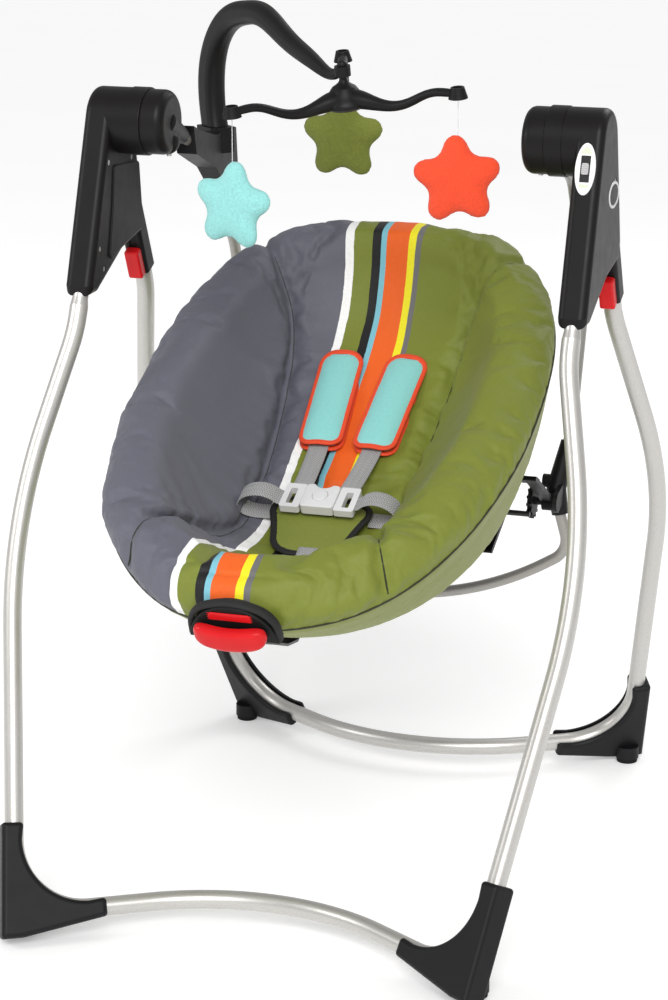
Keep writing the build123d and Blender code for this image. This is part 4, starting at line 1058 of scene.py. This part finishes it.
def build_handle():
    """A glossy bowed grip with soft edges, lofted across the seat."""
    points = []
    for x in np.linspace(-1.0, 1.0, GRIP_STATIONS):
        full = max((1.0 - abs(x) ** 7) ** 0.5, BLUNT_END)
        for k in range(GRIP_SIDES):
            a = 2 * math.pi * k / GRIP_SIDES
            ca, sa = math.cos(a), math.sin(a)
            fore = GRIP_HALF_DEPTH * full * math.copysign(abs(ca) ** GRIP_CORNER, ca)
            high = GRIP_HALF_HEIGHT * full * math.copysign(abs(sa) ** GRIP_CORNER, sa)
            points.append(on_seat(x * GRIP_HALF_LENGTH, GRIP_S - GRIP_BOW * x * x + fore,
                                  GRIP_D + GRIP_LIFT * x * x + high))
    grip = mesh_object("handle_grip", points, loft_faces(GRIP_STATIONS, GRIP_SIDES), "red_plastic")
    normals_outward(grip)
    subdivided(grip)
    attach(grip, "recline_handle")
    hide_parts("recline_handle")


ARCH = [
    (-51, -19), (-49, 2), (-38, 17), (-20, 25), (0, 28), (20, 25), (38, 17), (49, 2), (51, -19),
]
ARCH_S, ARCH_TAPE = 729.0, 0.0062
PANEL_S, PANEL_BOX, PANEL_CORNER, PANEL_HALF_THICKNESS = 738.0, (-27.0, 27.0, 8.0, 21.0), 3.0, 1.0
HARD_VOXEL = 0.0012                 # metres, for the small hard plates


def build_surround():
    """Black tape round the arched opening, and the blank red panel above the grip."""
    line = [on_seat(x, ARCH_S, d) for x, d in catmull(ARCH, 6)]
    tape = tube_mesh("opening_binding", line, ARCH_TAPE, "binding_black", sides=14, flatten=0.6,
                     up=-SEAT_UP)
    panel = pillow("blank_panel", rounded_box_outline(*PANEL_BOX, PANEL_CORNER),
                   lambda x, d, h: on_seat(x, PANEL_S + h, d), PANEL_HALF_THICKNESS,
                   "red_plastic", HARD_VOXEL)
    for piece, slot in ((tape, "cover_fabric"), (panel, "red_plastic")):
        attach(piece, "seat")


build_handle()
build_surround()


# ---- small details on the right housing -----------------------------------------------------
def plate(name, outline, place, thickness, material, bevel):
    """A thin flat plate with a bevelled upper edge."""
    centre = outline.mean(0)
    reach = np.linalg.norm(outline - centre, axis=1).mean()
    inner = centre + (outline - centre) * (1.0 - bevel / reach)
    rows = [(inner, 0.0), (outline, 0.0), (outline, thickness - bevel / 2), (inner, thickness)]
    points = [place(u, v, height) for line, height in rows for u, v in line]
    faces = loft_faces(len(rows), len(outline))
    piece = mesh_object(name, points, faces, material, smooth=False)
    normals_outward(piece)
    return piece


# Millimetres from the middle of the control bezel, along it and out of its face.
BEZEL_FACE = 1.2
WINDOW_HALF_WIDTH, WINDOW_HALF_LENGTH, WINDOW_FLOOR, WINDOW_THICKNESS = 5.7, 15.4, -0.2, 0.08
INLAY_HALF_WIDTH, INLAY_END, INLAY_TURNS = 9.0, 25.4, (38.0, 142.0)
INLAY_FOOT_HALF_WIDTH, INLAY_FOOT, INLAY_THICKNESS = 6.4, 17.6, 0.3

BADGE_Y, BADGE_Z = 0.010, 0.836
BADGE_HALF_LENGTH, BADGE_HALF_HEIGHT, BADGE_HALF_THICKNESS = 23.5, 13.8, 0.7
BADGE_RIM = 0.0019


def build_control_face():
    """The dark window round the speed slider, and pale inlays at the bezel's ends."""
    low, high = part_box("control_bezel")
    middle = (low + high) / 2
    along = Vector(joints["speed_slider_move"]["axis"]).normalized()
    out = RIGHT.cross(along)

    def place(u, v, height):
        return middle + (RIGHT * u + along * v + out * height) * MM

    w, v = WINDOW_HALF_WIDTH, WINDOW_HALF_LENGTH
    window = plate("control_window", rounded_box_outline(-w, w, -v, v, 1.0),
                   lambda a, b, h: place(a, b, WINDOW_FLOOR + h), WINDOW_THICKNESS,
                   "bezel_dark", bevel=0.02)
    made = [(window, "black_plastic")]
    for word, side in (("upper", 1), ("lower", -1)):
        turn = np.linspace(*np.radians(INLAY_TURNS), 25)
        end = np.stack([INLAY_HALF_WIDTH * np.cos(turn), side * INLAY_END * np.sin(turn)], axis=1)
        foot = [(u, side * INLAY_FOOT) for u in (-INLAY_FOOT_HALF_WIDTH, INLAY_FOOT_HALF_WIDTH)]
        inlay = plate(f"control_inlay_{word}", np.vstack([end, foot]),
                      lambda a, b, h: place(a, b, BEZEL_FACE + h), INLAY_THICKNESS,
                      "bezel_inlay", bevel=0.1)
        made.append((inlay, "bezel_white"))
    for piece, slot in made:
        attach(piece, "front_frame")


def build_badge():
    """An oval badge on the outer wall: a bright rim round a plain dark field."""
    _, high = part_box("housing_outer_right")
    centre = Vector((high.x, BADGE_Y, BADGE_Z))

    def place(u, v, height):
        return centre + Vector((height, u, v)) * MM

    turn = np.linspace(0.0, 2 * math.pi, 64, endpoint=False)
    outline = np.stack([BADGE_HALF_LENGTH * np.cos(turn), BADGE_HALF_HEIGHT * np.sin(turn)], axis=1)
    ring = tube_mesh("badge_rim", [place(u, v, 0.0) for u, v in outline], BADGE_RIM,
                     "badge_bright", closed=True, flatten=0.6, up=(1.0, 0.0, 0.0))
    field = pillow("badge_field", outline, place, BADGE_HALF_THICKNESS, "black_plastic", HARD_VOXEL)
    for piece, slot in ((ring, "slider_grey"), (field, "black_plastic")):
        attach(piece, "front_frame")


build_control_face()
build_badge()
